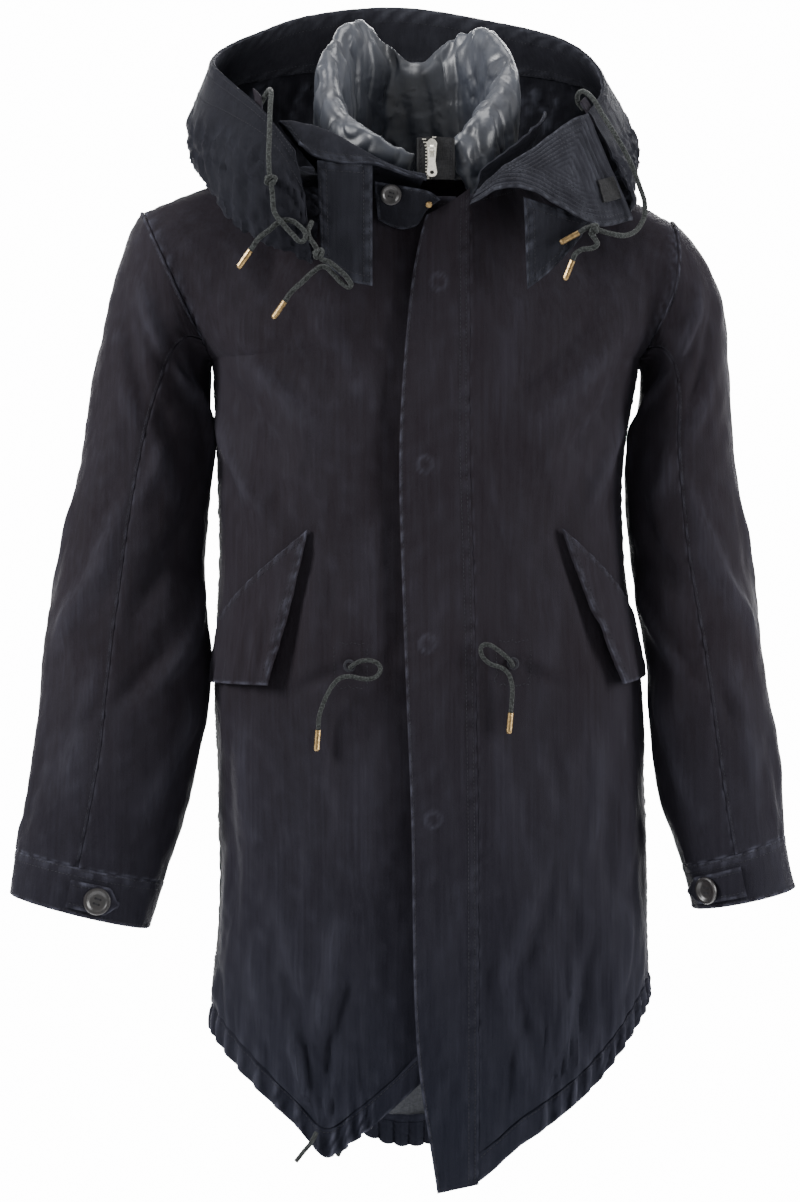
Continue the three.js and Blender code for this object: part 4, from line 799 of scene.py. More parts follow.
def keep(name, points, faces, material, nodes=(), wear=None, sharp=50):
    """A piece on the root body, with its worn places and painted highlights as an attribute of its points.
    """
    mesh = bpy.data.meshes.new(name)
    mesh.from_pydata((np.asarray(points) * MM).tolist(), [], faces)
    mesh.polygons.foreach_set("use_smooth", [True] * len(mesh.polygons))
    mesh.set_sharp_from_angle(angle=math.radians(sharp))
    field = mesh.attributes.new("wear", "FLOAT", "POINT")
    field.data.foreach_set("value", np.zeros(len(mesh.vertices)) if wear is None else wear)
    mesh.materials.append(material)
    piece = placed(name, mesh)
    finish_piece(piece, nodes)
    return piece


def finish_piece(piece, nodes):
    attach(piece, "root")
    if nodes:
        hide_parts(*nodes)


def places(length, cell, near=(0, 0.8, 1.7, 2.8, 4.2, 6.2)):
    """Shares of a length for rows or columns, closer together near its two ends."""
    inner = np.linspace(near[-1], length - near[-1], max(2, round((length - 2 * near[-1]) / cell)) + 1)
    ends = np.array(near[:-1])
    return np.concatenate([ends, inner, length - ends[::-1]]) / length


def run_of(points, axis):
    """Distances along the rows or columns of a grid, from their start."""
    gaps = np.linalg.norm(np.diff(points, axis=axis), axis=-1)
    pad = [(0, 0), (0, 0)]
    pad[axis] = (1, 0)
    return np.pad(np.cumsum(gaps, axis=axis), pad)


SEAM_ROWS = (2.2, 8)  # rows of stitching, by their distances from a seam or an edge
EDGE_ROWS = (2.4, 8)
ROW_WIDTH = 0.9  # of the groove under a row of stitching
ROW_DEPTH = 0.42
ROLL_HEIGHT = 0.32  # of the rolled cloth between an edge and its last row
ROLL_WEAR = 0.34
EDGE_WEAR = 0.7
INNER_WEAR_AND_HIGHLIGHT = 0.2  # of the inside, as a share of the outside's
SOFT_FOLD = 62
SMALL_FOLD = 17


class Cloth:
    """A piece of cloth as a grid over its form: its face, the height of its folds, its worn places and its
    painted highlights.
    """

    def __init__(self, surface, us, vs, side=1, wrap=False, lift=0.0):
        self.u, self.v = np.meshgrid(us, vs)
        self.side, self.wrap = side, wrap
        self.set_base(surface(self.u, self.v))
        if lift:
            self.set_base(self.base + self.out * lift)

    def set_base(self, base):
        self.base = base
        along = np.roll(base, -1, 1) - np.roll(base, 1, 1) if self.wrap else np.gradient(base, axis=1)
        self.out = self.side * unit(np.cross(along, np.gradient(base, axis=0)))
        self.left, self.low = run_of(base, 1), run_of(base, 0)
        self.right, self.high = self.left[:, -1:] - self.left, self.low[-1:] - self.low
        self.height, self.wear = np.zeros(base.shape[:2]), np.zeros(base.shape[:2])
        return self

    def part(self, columns, rows, lift):
        """The same cloth's grid between some columns and rows, lifted off its face."""
        made = object.__new__(Cloth)
        made.u, made.v = self.u[rows, columns], self.v[rows, columns]
        made.side, made.wrap = self.side, False
        return made.set_base((self.face() + self.out * lift)[rows, columns])

    def face(self):
        return self.base + self.out * self.height[..., None]

    def edge(self, name):
        """Each point's distance from an edge and its place along it."""
        return getattr(self, name), self.low if name in ("left", "right") else self.left

    def calm(self, *edges, reach=18, least=0.1):
        """A share that falls towards some edges."""
        off = np.min([self.edge(name)[0] for name in edges], axis=0)
        return mix(least, 1, smooth(off, 0, reach))

    def sew(self, name, seed, rows=(), pucker=0.45, reach=13, drop=0.7, paled=1.0):
        """A sewn edge: pressed down, rolled, with rows of stitching and puckers that fade from it."""
        off, along = self.edge(name)
        wave = ripple(along, seed)
        self.height += pucker * wave * bell(off, reach) - drop * bell(off, ROW_WIDTH)
        for row in rows:
            sunk = ROW_DEPTH * (1 + 0.4 * ripple(along, seed + 7))
            self.height -= sunk * bell(off, ROW_WIDTH, row)
        if rows:
            middle = 0.55 * max(rows)
            roll = bell(off, 0.5 * max(rows), middle)
            self.height += ROLL_HEIGHT * (1 + 0.9 * wave) * roll
            self.wear += ROLL_WEAR * paled * np.clip(0.4 + 0.9 * wave, 0, 1) * roll
        rubbed = np.clip(0.4 + ripple(along, seed + 3), 0, 1)
        self.wear += EDGE_WEAR * paled * rubbed * bell(off, 1.2, 1.1)
        return self

    def wrinkle(self, seed, coarse, fine, calm=1.0):
        """Uneven soft folds, about 60 mm and 17 mm from one to the next, with a painted highlight on the
        small folds' ridges.
        """
        soft = crumple(self.base, seed, SOFT_FOLD)
        small = crumple(self.base, seed + 1, SMALL_FOLD)
        self.height += (coarse * soft + fine * small) * calm
        # Painted highlight: paler on the ridges of the small folds.
        self.wear += np.clip(0.05 * small, 0, 0.2) * calm
        return self

    def line(self, name, off, start=0.0, end=1.0):
        """Points on the face with their normals, along an edge at a distance from it."""
        far, _ = self.edge(name)
        both = np.concatenate([self.face(), self.out], axis=-1)
        if name in ("low", "high"):
            far, both = far.T, both.transpose(1, 0, 2)
        turn = -1 if name in ("right", "high") else 1
        rows = [[np.interp(off, d[::turn], p[::turn, k]) for k in range(6)] for d, p in zip(far, both)]
        count = len(rows)
        return np.array(rows[int(start * count):math.ceil(end * count)])

    def sized(self):
        """Its cut: the greatest width and length, and its area, in metres."""
        width, length = self.left[:, -1].max(), self.low[-1].max()
        if self.wrap:
            width += np.linalg.norm(self.base[:, 0] - self.base[:, -1], axis=-1).max()
        a, b = self.base[1:, :-1] - self.base[:-1, :-1], self.base[:-1, 1:] - self.base[:-1, :-1]
        area = np.linalg.norm(np.cross(a, b), axis=-1).sum()
        return float(width * MM), float(length * MM), float(min(area, 0.999 * width * length) * MM * MM)

    def make(self, name, thick, material, slot, held="hung", rests_on=()):
        """The piece itself, a shell in place of the node of the same name."""
        rows, columns = self.height.shape
        face = self.face()
        both = np.concatenate([face.reshape(-1, 3), (face - self.out * thick).reshape(-1, 3)])
        back = rows * columns
        spot = np.arange(back).reshape(rows, columns)
        if self.wrap:
            spot = np.concatenate([spot, spot[:, :1]], axis=1)
        a, b, c, d = spot[:-1, :-1], spot[:-1, 1:], spot[1:, 1:], spot[1:, :-1]
        outside, inside = np.stack([a, b, c, d], -1), np.stack([a, d, c, b], -1) + back
        quads = [outside.reshape(-1, 4), inside.reshape(-1, 4)]
        rims = [spot[0], spot[-1][::-1]]
        if not self.wrap:
            rims = [spot[0], spot[:, -1], spot[-1][::-1], spot[:, 0][::-1]]
        for rim in rims:
            quads.append(np.stack([rim[1:], rim[:-1], rim[:-1] + back, rim[1:] + back], -1))
        faces = np.concatenate(quads)
        if self.side < 0:
            faces = faces[:, ::-1]
        wear = np.clip(np.concatenate([self.wear.ravel(), INNER_WEAR_AND_HIGHLIGHT * self.wear.ravel()]), 0, 1)
        piece = keep(name, both, faces.tolist(), material, [name.replace("_cloth", "")], wear)
        width, length, area = self.sized()
        return piece


STITCH_LINES = []


def stitch(*lines):
    STITCH_LINES.extend(lines)


def sew_thread(name, lines, pitch=3.6, long=2.5, thick=0.36):
    """Short raised stitches along lines of points and normals."""
    centres, ways, ups = [], [], []
    for line in lines:
        run = np.concatenate([[0], np.cumsum(np.linalg.norm(np.diff(line[:, :3], axis=0), axis=1))])
        spots = np.arange(pitch, run[-1] - pitch, pitch)
        for ahead, store in ((0, centres), (0.8, ways)):
            store.append(np.stack([np.interp(spots + ahead, run, line[:, k]) for k in range(3)], axis=-1))
        ups.append(np.stack([np.interp(spots, run, line[:, k]) for k in range(3, 6)], axis=-1))
    centre, up = np.concatenate(centres), unit(np.concatenate(ups))
    way = unit(np.concatenate(ways) - centre)
    across = unit(np.cross(way, up))
    stations = [(-0.5, 0.45, -0.02), (0, 1, 0.22), (0.5, 0.45, -0.02)]
    corners = [(1, 0), (0, 1), (-1, 0), (0, -1)]
    points = np.stack([
        centre + way * (t * long) + up * (lift + thick * wide * s) + across * (thick * wide * c)
        for t, wide, lift in stations for c, s in corners], axis=1)
    shape = np.array(tube_faces(len(stations), len(corners)) + [(3, 2, 1, 0), (8, 9, 10, 11)])
    faces = (np.arange(len(centre))[:, None, None] * points.shape[1] + shape[None]).reshape(-1, 4)
    keep(name, points.reshape(-1, 3), faces.tolist(), THREAD, sharp=80)


# The body

UNDER_POCKET = 0.12  # the share of the small folds that is left under a pocket's flap
LOW_ROLL = 0.35  # how far a panel's edge is pressed down over the casing
SEAM_WORN = 0.35
SKIRT_RUN = 640  # a panel's length to the underarm and above it, for its rows
YOKE_RUN = 140
UNDER_FLY = 3.5  # how far the right front's edge is sunk beside the fly


def pocket_calm(x, z):
    """A share that falls where a pocket's flap lies on the cloth."""
    off = ((np.abs(x + 2) - 152) / 50) ** 4 + ((z + 385) / 85) ** 4
    return mix(UNDER_POCKET, 1, 1 - np.exp(-off))


def panel_rows(cell):
    whole = SKIRT_RUN + YOKE_RUN
    run = places(whole, cell) * whole
    return np.maximum(np.where(run <= SKIRT_RUN, run / SKIRT_RUN, 1 + (run - SKIRT_RUN) / YOKE_RUN), 0.0006)


def dress_panel(cloth, rows, seed, gathered):
    """Creases, wrinkles and, from the hem up, the pulled folds over the gathers, with painted highlights on
    their ridges.
    """
    x, z = cloth.base[..., 0], cloth.base[..., 2]
    calm = cloth.calm("left", "right", "high") * pocket_calm(x, z)
    cloth.height += BODY_CREASE * creases(rows, x, z) * calm
    cloth.height += creases(POCKET_TROUGHS, x, z)
    # Painted highlight on the ridges of the creases.
    cloth.wear += np.clip(0.09 * creases(rows, x, z), 0, 0.2)
    cloth.wrinkle(seed, 0.9, 0.34, calm)
    wave, show = gathers(cloth.u, *gathered)
    pulled = ripple(x * 1.25 + 5 * np.sin(z / 46 + seed), seed + 5)
    lower = ripple(x * 0.9 + 6 * np.sin(z / 60), seed + 6)
    near, far = np.exp(-cloth.low / 14), np.exp(-cloth.low / 62)
    free = smooth(cloth.low, 0, 16)
    folds = 2.4 * pulled * far + 1.4 * lower * np.exp(-cloth.low / 150)
    cloth.height += show * (0.75 * wave * near + free * folds)
    cloth.height -= LOW_ROLL * bell(cloth.low, 1.6)
    # Painted highlight on the crests of the gathers and of the pulled folds.
    cloth.wear += show * (0.3 * np.clip(wave, 0, 1) * near + 0.12 * np.clip(pulled, 0, 1) * far)


front_rows = panel_rows(3.0)
right_cloth = Cloth(front_right, places(226, 2.7), front_rows)
dress_panel(right_cloth, FRONT_CREASES, 11, GATHERS["right"])
beside_fly = right_cloth.base[..., 0] - column(FLY_EDGE, "free", "z", right_cloth.base[..., 2])
right_cloth.height -= UNDER_FLY * bell(beside_fly, 15, 2)
right_cloth.sew("left", 21, SEAM_ROWS).sew("high", 22, (2.2, 7), 0.5)
left_cloth = Cloth(front_left, places(172, 2.7), front_rows)
dress_panel(left_cloth, FRONT_CREASES, 12, GATHERS["left"])
left_cloth.sew("right", 23, SEAM_ROWS).sew("high", 24, (2.2, 7), 0.5).sew("left", 25, (), 0.35, 16, 0.3, 0.3)
back_cloth = Cloth(back_panel, places(470, 4.2), panel_rows(4.2))
dress_panel(back_cloth, BACK_CREASES, 13, GATHERS["back"])
back_cloth.sew("left", 26, SEAM_ROWS).sew("right", 27, SEAM_ROWS).sew("high", 28, (2.2, 7), 0.5)

fly_cloth = Cloth(fly, places(50, 2.4), places(850, 3.0))
fly_x, fly_z = fly_cloth.base[..., 0], fly_cloth.base[..., 2]
fly_cloth.wrinkle(31, 0.55, 0.24, fly_cloth.calm("right", reach=12, least=0.4))
fly_cloth.height += creases(FRONT_CREASES, fly_x, fly_z) * FLY_CREASE
fly_cloth.sew("left", 32, (2.4,), 0.55, 10).sew("right", 33, (3.5, 9), 0.45, 18, 0.3, 0.3)
for snap_x, snap_z in SNAPS:
    away = np.hypot(fly_x - snap_x, fly_z - snap_z)
    fly_cloth.height += 0.9 * (1 - smooth(away, 5.5, 8.5)) - 0.35 * bell(away, 1.6, 9.5)
    fly_cloth.wear += 0.35 * bell(away, 1.5, 6.6)

right_cloth.make("front_right_cloth", CLOTH, SHELL, "shell", rests_on=["back", "sleeve_upper_right"])
left_cloth.make("front_left_cloth", CLOTH, SHELL, "shell", rests_on=["back", "sleeve_upper_left"])
back_cloth.make("back_cloth", CLOTH, SHELL, "shell", rests_on=["front_right", "front_left"])
fly_cloth.make("fly_placket_cloth", DOUBLE_CLOTH, SHELL, "shell", rests_on=["front_left"])


def within(values, low, high):
    """The slice of rising values between two bounds."""
    inside = np.flatnonzero((values > low) & (values < high))
    return slice(inside[0], inside[-1] + 1)


lining_cloth = back_cloth.part(within(back_cloth.u[0], 6 / 22, 16 / 22),
                               within(back_cloth.v[:, 0], 0.004, 0.07), -CLOTH - 0.6)
lining_cloth.make("back_lining_cloth", THIN, LINING, "lining", rests_on=["back"])

# The last two values are a casing's width and how far its first end runs on under the fly.
for node, side, angles, hem, back, width, under in (
        ("hem_casing_front_right", "right", angles_right, HEM_FRONT_RIGHT, lap_back, 226, 0),
        ("hem_casing_front_left", "left", angles_left, HEM_FRONT_LEFT, no_lap, 175, 0.005),
        ("hem_casing_back", "back", angles_back, HEM_BACK, no_lap, 480, 0)):
    across = places(width, 1.5)
    across[0] -= under
    made = Cloth(casing(angles, hem, GATHERS[side], back), across, TUCK_UP * places(29, 1.6))
    wave, show = gathers(made.u, *GATHERS[side])
    uneven = ripple(made.left * 1.7, 41)
    open_part = 1 - smooth(made.v, 0.9, 1.0)
    crests = np.clip(wave, 0, 1) ** 2
    made.height += show * open_part * (0.7 * crests + 0.9 * uneven * np.sin(np.pi * made.v))
    # Painted highlight on the crests of the gathers.
    made.wear += show * 0.8 * crests * (0.5 + 0.5 * uneven) * open_part
    made.sew("low", 43, (), 0.3, 6)
    made.wrinkle(44, 0.3, 0.3, open_part)
    made.height -= 0.5 * bell(made.v, 0.035, 0.84)
    made.make(f"{node}_cloth", DOUBLE_CLOTH, SHELL, "shell", held="gathered", rests_on=[node])
    stitch(made.line("high", 8.6))

SIDE_END = 0.83  # where the side seams end below the armholes
for cloth, edge, rows, end in (
        (right_cloth, "left", SEAM_ROWS, SIDE_END), (left_cloth, "right", SEAM_ROWS, SIDE_END),
        (right_cloth, "high", (7,), 1), (left_cloth, "high", (7,), 1), (back_cloth, "high", (7,), 1),
        (back_cloth, "left", (8,), SIDE_END), (back_cloth, "right", (8,), SIDE_END),
        (fly_cloth, "left", (2.4,), 1), (fly_cloth, "right", (3.5, 9), 1)):
    stitch(*(cloth.line(edge, row, 0, end) for row in rows))


# Sleeves, cuffs and pocket flaps

INTO_CUFF = 1.0008  # how far a sleeve runs on under its cuff, as a multiple of its length


def sleeve(side, rings, outward, seed):
    surface = sleeve_surface(rings, outward)

    def half(start, end):
        def spread(u, v):
            place = v * CUFF_PLACE
            return surface(mix(start(place), end(place), u), place)
        return spread

    def seam_at(place):
        return spline(rings["seam"], np.clip(place, 0, 8))

    def gap(place):
        return 0.12 + 0.95 * np.maximum(0, 1 - place)

    halves = {"upper": (lambda p: gap(p) - seam_at(p), lambda p: seam_at(p) - gap(p), 190),
              "under": (lambda p: seam_at(p) + gap(p), lambda p: 360 - seam_at(p) - gap(p), 175)}
    for name, (start, end, width) in halves.items():
        along = places(600, 3.1) * INTO_CUFF
        made = Cloth(half(start, end), places(width, 3.1), along, outward, lift=CLOTH)
        angle = mix(start(made.v * CUFF_PLACE), end(made.v * CUFF_PLACE), made.u)
        calm = made.calm("left", "right", "low", "high")
        for shift in (0, 360):
            lines = creases(SLEEVE_LINES, angle + shift, made.v * CUFF_PLACE * SLEEVE_STEP)
            made.height += SLEEVE_CREASE * lines * calm
        # Painted highlight where the creases raise the cloth.
        made.wear += np.clip(0.05 * made.height, 0, 0.16)
        made.wrinkle(seed, 1.2, 0.35, calm)
        rows = (2.2,) if name == "upper" else ()
        made.sew("left", seed + 2, rows, 0.6, 12, 0.5, SEAM_WORN)
        made.sew("right", seed + 3, rows, 0.6, 12, 0.5, SEAM_WORN)
        made.sew("low", seed + 4, (2.6,), 0.8, 16).sew("high", seed + 5, (), 0.8, 16)
        node = f"sleeve_{name}_{side}"
        made.make(f"{node}_cloth", CLOTH, SHELL, "shell", rests_on=[f"front_{side}", "back"])
        stitch(made.line("low", 2.6), *(made.line(edge, row) for row in rows for edge in ("left", "right")))


def round_button(name, point, way, radius, height, node):
    """A four-hole button with a raised rim, its holes as dark discs of painted shade, and the thread that
    crosses it.
    """
    profile = [(0, 0), (0.84, 0), (0.94, 0.12), (1, 0.4), (1, 0.72), (0.96, 0.92), (0.88, 1), (0.78, 0.97),
               (0.7, 0.84), (0.62, 0.66), (0.5, 0.6), (0, 0.6)]
    sides, hole_sides = 40, 14
    hole_off, hole_radius, well = 0.19 * radius, 0.09 * radius, 0.6 * height
    first = unit(np.cross(way, (0.3, 0.2, 0.93)))
    second = np.cross(way, first)

    def circle(middle, wide, count):
        turns = [2 * math.pi * k / count for k in range(count)]
        return [middle + wide * (math.cos(turn) * first + math.sin(turn) * second) for turn in turns]

    points = []
    for wide, up in profile:
        points += circle(point + way * height * up, radius * wide, sides)
    keep(name, points, tube_faces(len(profile), sides), HORN, [node], sharp=35)
    # The holes are not cut: dark discs just over the button's face paint the shade in them.
    hole_shades = []
    for x, y in ((1, 1), (-1, 1), (-1, -1), (1, -1)):
        middle = point + hole_off * (x * first + y * second) + way * (well + 0.06)
        hole_shades += circle(middle, hole_radius, hole_sides)
    discs = [tuple(range(start, start + hole_sides)) for start in range(0, len(hole_shades), hole_sides)]
    keep(name + "_holes", hole_shades, discs, TAPE)
    lines = []
    for y in (-1, 1):
        ends = [point + hole_off * (x * first + y * second) + way * (well + 0.2) for x in (-1.1, 1.1)]
        line = mix(ends[0], ends[1], np.linspace(0, 1, 9)[:, None])
        lines.append(np.concatenate([line, np.broadcast_to(way, line.shape)], axis=1))
    sew_thread(name + "_thread", lines, pitch=0.2 * radius, long=0.42 * radius, thick=0.5)


def cuff(side, rows, outward, start, end, button, seed):
    low, high = 0.2, 0.86  # the tab's edges, up the cuff
    middle = (low + high) / 2
    surface = cuff_surface(rows, outward)
    made = Cloth(surface, np.linspace(0, 360, 150, endpoint=False), places(42, 1.8), outward, wrap=True)
    made.wrinkle(seed, 0.5, 0.26, made.calm("low", "high", reach=8))
    made.sew("low", seed + 1, SEAM_ROWS, 0.4, 9).sew("high", seed + 2, (3.2,), 0.4, 9)
    made.make(f"cuff_{side}_cloth", DOUBLE_CLOTH, SHELL, "shell", held="folded",
              rests_on=[f"sleeve_upper_{side}"])
    stitch(made.line("low", 2.2), made.line("low", 8), made.line("high", 3.2))

    def lifted(out):
        def tab(u, v):
            narrow = 1 - smooth(u, 0.72, 1) * 0.75
            across = middle + (high - low) * (v - 0.5) * narrow
            angle = mix(start, end, u)
            normal = facing(surface, angle, across) * outward
            return surface(angle, across) + normal * out
        return tab

    strap = Cloth(lifted(DOUBLE_CLOTH + TAB_LIFT), places(64, 1.8), places(28, 1.8), outward)
    for edge in ("low", "high", "right"):
        strap.sew(edge, seed + 3, (4.2,), 0.25, 6)
    strap.make(f"cuff_tab_{side}_cloth", DOUBLE_CLOTH, SHELL, "shell", rests_on=[f"cuff_{side}"])
    stitch(strap.line("low", 4.2, 0, 0.75), strap.line("high", 4.2, 0, 0.75))
    spot = np.array(float(button)), np.array(middle)
    way = facing(surface, *spot) * outward
    point = surface(*spot) + way * (DOUBLE_CLOTH + TAB_LIFT + SEAM_GAP)
    round_button(f"cuff_button_{side}_piece", point, way, 12, 4.5, f"cuff_button_{side}")


def pocket(side, tip, seam_end, low_end, low_tip, seed):
    """A pocket's flap. Its corners are given by their angles and levels on the body."""
    def flap(u, v):
        angle, z = (mix(mix(low_end[k], low_tip[k], u), mix(seam_end[k], tip[k], u), v) for k in range(2))
        return off_body(angle, z, DOUBLE_CLOTH + 0.6 + 8 * u * u * (1 - v) + 3 * (1 - v))

    made = Cloth(flap, places(85, 2.2), places(100, 2.2), math.copysign(1, tip[0] - seam_end[0]))
    made.wrinkle(seed, 0.5, 0.26, made.calm("high", "left", reach=14, least=0.3))
    wavy = ripple(made.left * 0.7, seed) * smooth(made.high, 30, 95)
    made.height += 1.3 * wavy * made.calm("left", reach=10)
    made.sew("high", seed + 1, EDGE_ROWS, 0.5, 10).sew("right", seed + 2, EDGE_ROWS, 0.35, 9)
    made.sew("low", seed + 3, (2.4,), 0.35, 8).sew("left", seed + 4, (2.4,), 0.35, 8)
    made.make(f"pocket_flap_{side}_cloth", DOUBLE_CLOTH, SHELL, "shell", rests_on=[f"front_{side}"])
    stitch(*(made.line(edge, row) for edge in ("high", "right") for row in EDGE_ROWS))


sleeve("right", SLEEVE_RIGHT, -1, 51)
sleeve("left", SLEEVE_LEFT, 1, 61)
cuff("right", SLEEVE_RIGHT, -1, 82, 122, 104, 71)
cuff("left", SLEEVE_LEFT, 1, 92, 165, 130, 81)
pocket("right", (230, -312), (194, -390), (188, -446), (218, -447), 91)
pocket("left", (319, -311), (353, -390), (352, -440), (333, -447), 95)


# The hood and the neck

hood_surface = sewn_to_neck(lofted(HOOD), 0, CLOTH + NECK_RISE)
hood_right_us = places(430, 3.2) * (HOOD_SPLIT - HOOD_SLIT)
hood_left_us = HOOD_SPLIT + HOOD_SLIT + places(300, 3.2) * (1 - HOOD_SPLIT - HOOD_SLIT)
hood_us = np.unique(np.concatenate([hood_right_us, hood_left_us, [HOOD_SPLIT]]))
hood_vs = places(265, 3.2)


def dress_hood(cloth):
    """Upright crinkles over the outside with a painted highlight on their ridges, calm at the rim where the
    facing holds it.
    """
    band = 1 - smooth(cloth.v, 0.76, 0.86)
    low = smooth(cloth.v, 0.04, 0.2)
    coarse = crumple(cloth.base, 101, 30, upright=0.3)
    sharp = sharp_crumple(cloth.base, 102, 21, 1.3, 0.35)
    fine = sharp_crumple(cloth.base, 103, 12, 1.4, 0.5)
    crinkle = 1.2 * coarse + 1.7 * sharp + 0.9 * fine
    cloth.height -= (crinkle * band + 0.15 * crinkle) * low
    # Painted highlight on the ridges of the crinkles.
    cloth.wear += 0.5 * np.clip(-crinkle - 1.1, 0, 1.6) * band
    cloth.height -= 0.8 * bell(cloth.high, 4.5, 6) - 0.4 * bell(cloth.high, 1.2, 13)
    cloth.sew("low", 104, (2.4,), 0.6, 14)


hood_cloth = Cloth(hood_surface, hood_us, hood_vs)
dress_hood(hood_cloth)
hood_across = hood_cloth.u[0]
hood_parts = {"right": within(hood_across, -1, HOOD_SPLIT + HOOD_LAP),
              "left": within(hood_across, HOOD_SPLIT + 0.5 * HOOD_SLIT, 2)}
for name, columns in hood_parts.items():
    half = hood_cloth.part(columns, slice(None), 0)
    half.wear = hood_cloth.wear[:, columns]
    to_seam = half.right if name == "right" else half.left
    half.height -= 0.3 * bell(to_seam, 1.4)
    half.make(f"hood_{name}_cloth", CLOTH, UPPER, "shell", rests_on=["back", f"front_{name}"])
    for off in (4, 13, 36):
        line = half.line("high", off)
        line[:, :3] -= line[:, 3:] * CLOTH
        line[:, 3:] *= -1
        stitch(line)

facing_cloth = hood_cloth.part(within(hood_across, 0.129, 0.968), within(hood_cloth.v[:, 0], 9 / 11, 2),
                               CLOTH + SEAM_GAP)
facing_cloth.wrinkle(111, 0.3, 0.22, facing_cloth.calm("low", "high", reach=8))
cord_roll = bell(facing_cloth.high, 4.5, 7)
facing_cloth.height += 0.9 * cord_roll * (1 + 0.3 * ripple(facing_cloth.left, 112))
facing_cloth.sew("low", 113, EDGE_ROWS, 0.4, 9).sew("high", 114, (1.8, 13.5), 0.3, 8)
facing_cloth.make("hood_facing_cloth", CLOTH, FACING, "facing", rests_on=["hood_right", "hood_left"])
stitch(*(facing_cloth.line("low", off) for off in EDGE_ROWS), facing_cloth.line("high", 13.5))

ROW_SPACE = 4.7  # between the lapel's rows of stitching
lapel_low = [(37, -148, -34), (62, -160, -21), (90, -160, -22), (117, -154, -36), (150, -135, -50),
             (181, -106.7, -42)]
lapel_high = [(44, -146, -20), (68, -144, 2), (90, -136, 16), (110, -122, 32), (128, -105, 46),
              (142, -88.7, 53)]
lapel = between(lapel_low, lapel_high, 3)
lapel_cloth = Cloth(lapel, places(170, 1.6), places(84, 1.3))
from_edge = np.minimum(np.minimum(lapel_cloth.low, lapel_cloth.high), lapel_cloth.right * 0.8)
groove = bell((from_edge + 1.6) % ROW_SPACE, 0.85, ROW_SPACE / 2)
lapel_cloth.height -= 0.8 * groove * smooth(from_edge, 0.8, 2.2)
# Painted shade in the stitched grooves: the cloth between them is made paler, so the grooves read as dark
# lines.
lapel_cloth.wear += 0.32 * (1 - groove) * np.clip(0.55 + 0.6 * crumple(lapel_cloth.base, 121, 26), 0, 1)
lapel_cloth.wrinkle(122, 0.7, 0.35, lapel_cloth.calm("low", "high", reach=8, least=0.5))
lapel_cloth.sew("low", 123, (), 0.5, 9).sew("high", 124, (), 0.5, 9)
lapel_cloth.make("hood_lapel_left_cloth", CLOTH, FACING, "facing", rests_on=["hood_left", "neck_leaf_left"])
for k in range(6):
    for edge in ("low", "high"):
        stitch(lapel_cloth.line(edge, 0.75 + ROW_SPACE * k + ROW_SPACE / 2, 0.1 * k / 2, 1 - 0.06 * k))

# Each leaf has its surface, its width and length, the side that it faces, its thickness and its rows of
# stitching.
LEAVES = [
    ("neck_leaf_left", between([(87, -143, -106), (105, -144, -92), (128, -137, -68), (142, -126, -47)],
                               [(84, -154.3, -28), (142, -135.8, -44)]), 80, 78, 1, CLOTH, EDGE_ROWS),
    ("neck_leaf_right", between([(-90, -150, -82), (-78, -148, -92), (-63, -146, -100), (-46, -142, -103)],
                                [(-94, -147, 5), (-80, -148.9, 3), (-66, -149.1, 2), (-46, -145.5, 1)], 2),
     52, 98, 1, CLOTH, EDGE_ROWS),
    ("stand_right", sewn_to_neck(lofted(STAND_RIGHT), STAND_INSET, 2 * NECK_RISE),
     125, 80, -1, CLOTH, EDGE_ROWS),
    ("stand_left", sewn_to_neck(between([(44, -126, -18), (66, -104, -8), (80, -72, 4), (84, -34, 12)],
                                        [(46, -132, -2), (78, -122, 24), (100, -96, 46), (106, -50, 60)]),
                                STAND_INSET, 2 * NECK_RISE), 110, 50, -1, CLOTH, EDGE_ROWS),
    ("neck_strap", between([(-42, -118.6, -44), (-24, -119.1, -52), (-8, -119.1, -49), (-2, -119.6, -37)],
                           [(-45, -133, -12), (-20, -133, -16), (2, -130, -20), (13, -126, -27)], 3),
     50, 30, 1, DOUBLE_CLOTH, (2.4,)),
]
for seed, (name, surface, width, length, side, thick, rows) in enumerate(LEAVES):
    made = Cloth(surface, places(width, 2.0), places(length, 2.0), side)
    made.wrinkle(130 + seed, 0.6, 0.3, made.calm("low", reach=10, least=0.2))
    for edge in ("left", "right", "high"):
        made.sew(edge, 140 + seed, rows, 0.35, 9)
    made.sew("low", 150 + seed, rows if side > 0 else (), 0.35, 8)
    front = "front_right" if "right" in name else "front_left"
    made.make(f"{name}_cloth", thick, UPPER, "shell", rests_on=[front])
    edges = ("high", "right", "left", "low") if side > 0 else ("high", "right", "left")
    for row in rows:
        stitch(*(made.line(edge, row) for edge in edges))
    if name == "neck_strap":
        spot = np.array(0.2), np.array(0.75)
        way = facing(surface, *spot)
        round_button("neck_button_piece", surface(*spot) + 0.4 * way, way, 9, 4, "neck_button")

# The loops for the hood's cord, each between two places across the hood
on_hood = moved(hood_surface, CLOTH + 0.7)
for name, start, end in (("right", 0.088, 0.112), ("left", 0.976, 0.994)):
    made = Cloth(on_hood, start + places(13, 1.4) * (end - start), 0.94 + places(22, 1.4) * 0.11)
    for edge in ("left", "right"):
        made.sew(edge, 161, (2.0,), 0.2, 4)
    made.height += 0.6
    made.make(f"hood_tab_{name}_cloth", CLOTH, SHELL, "shell", rests_on=["hood_facing"])
    stitch(made.line("left", 2.0), made.line("right", 2.0))

tape_patch = Cloth(moved(lapel, 1.8), mix(0.85, 0.97, places(22, 1.5)), mix(0.2, 0.4, places(16, 1.5)))
tape_patch.height += 0.9
for edge in ("left", "right", "low", "high"):
    tape_patch.sew(edge, 171, (1.6,), 0.15, 4, 0.3)
tape_patch.make("lapel_tape_cloth", THIN, TAPE, "tape", rests_on=["hood_lapel_left"])


# The padded collar

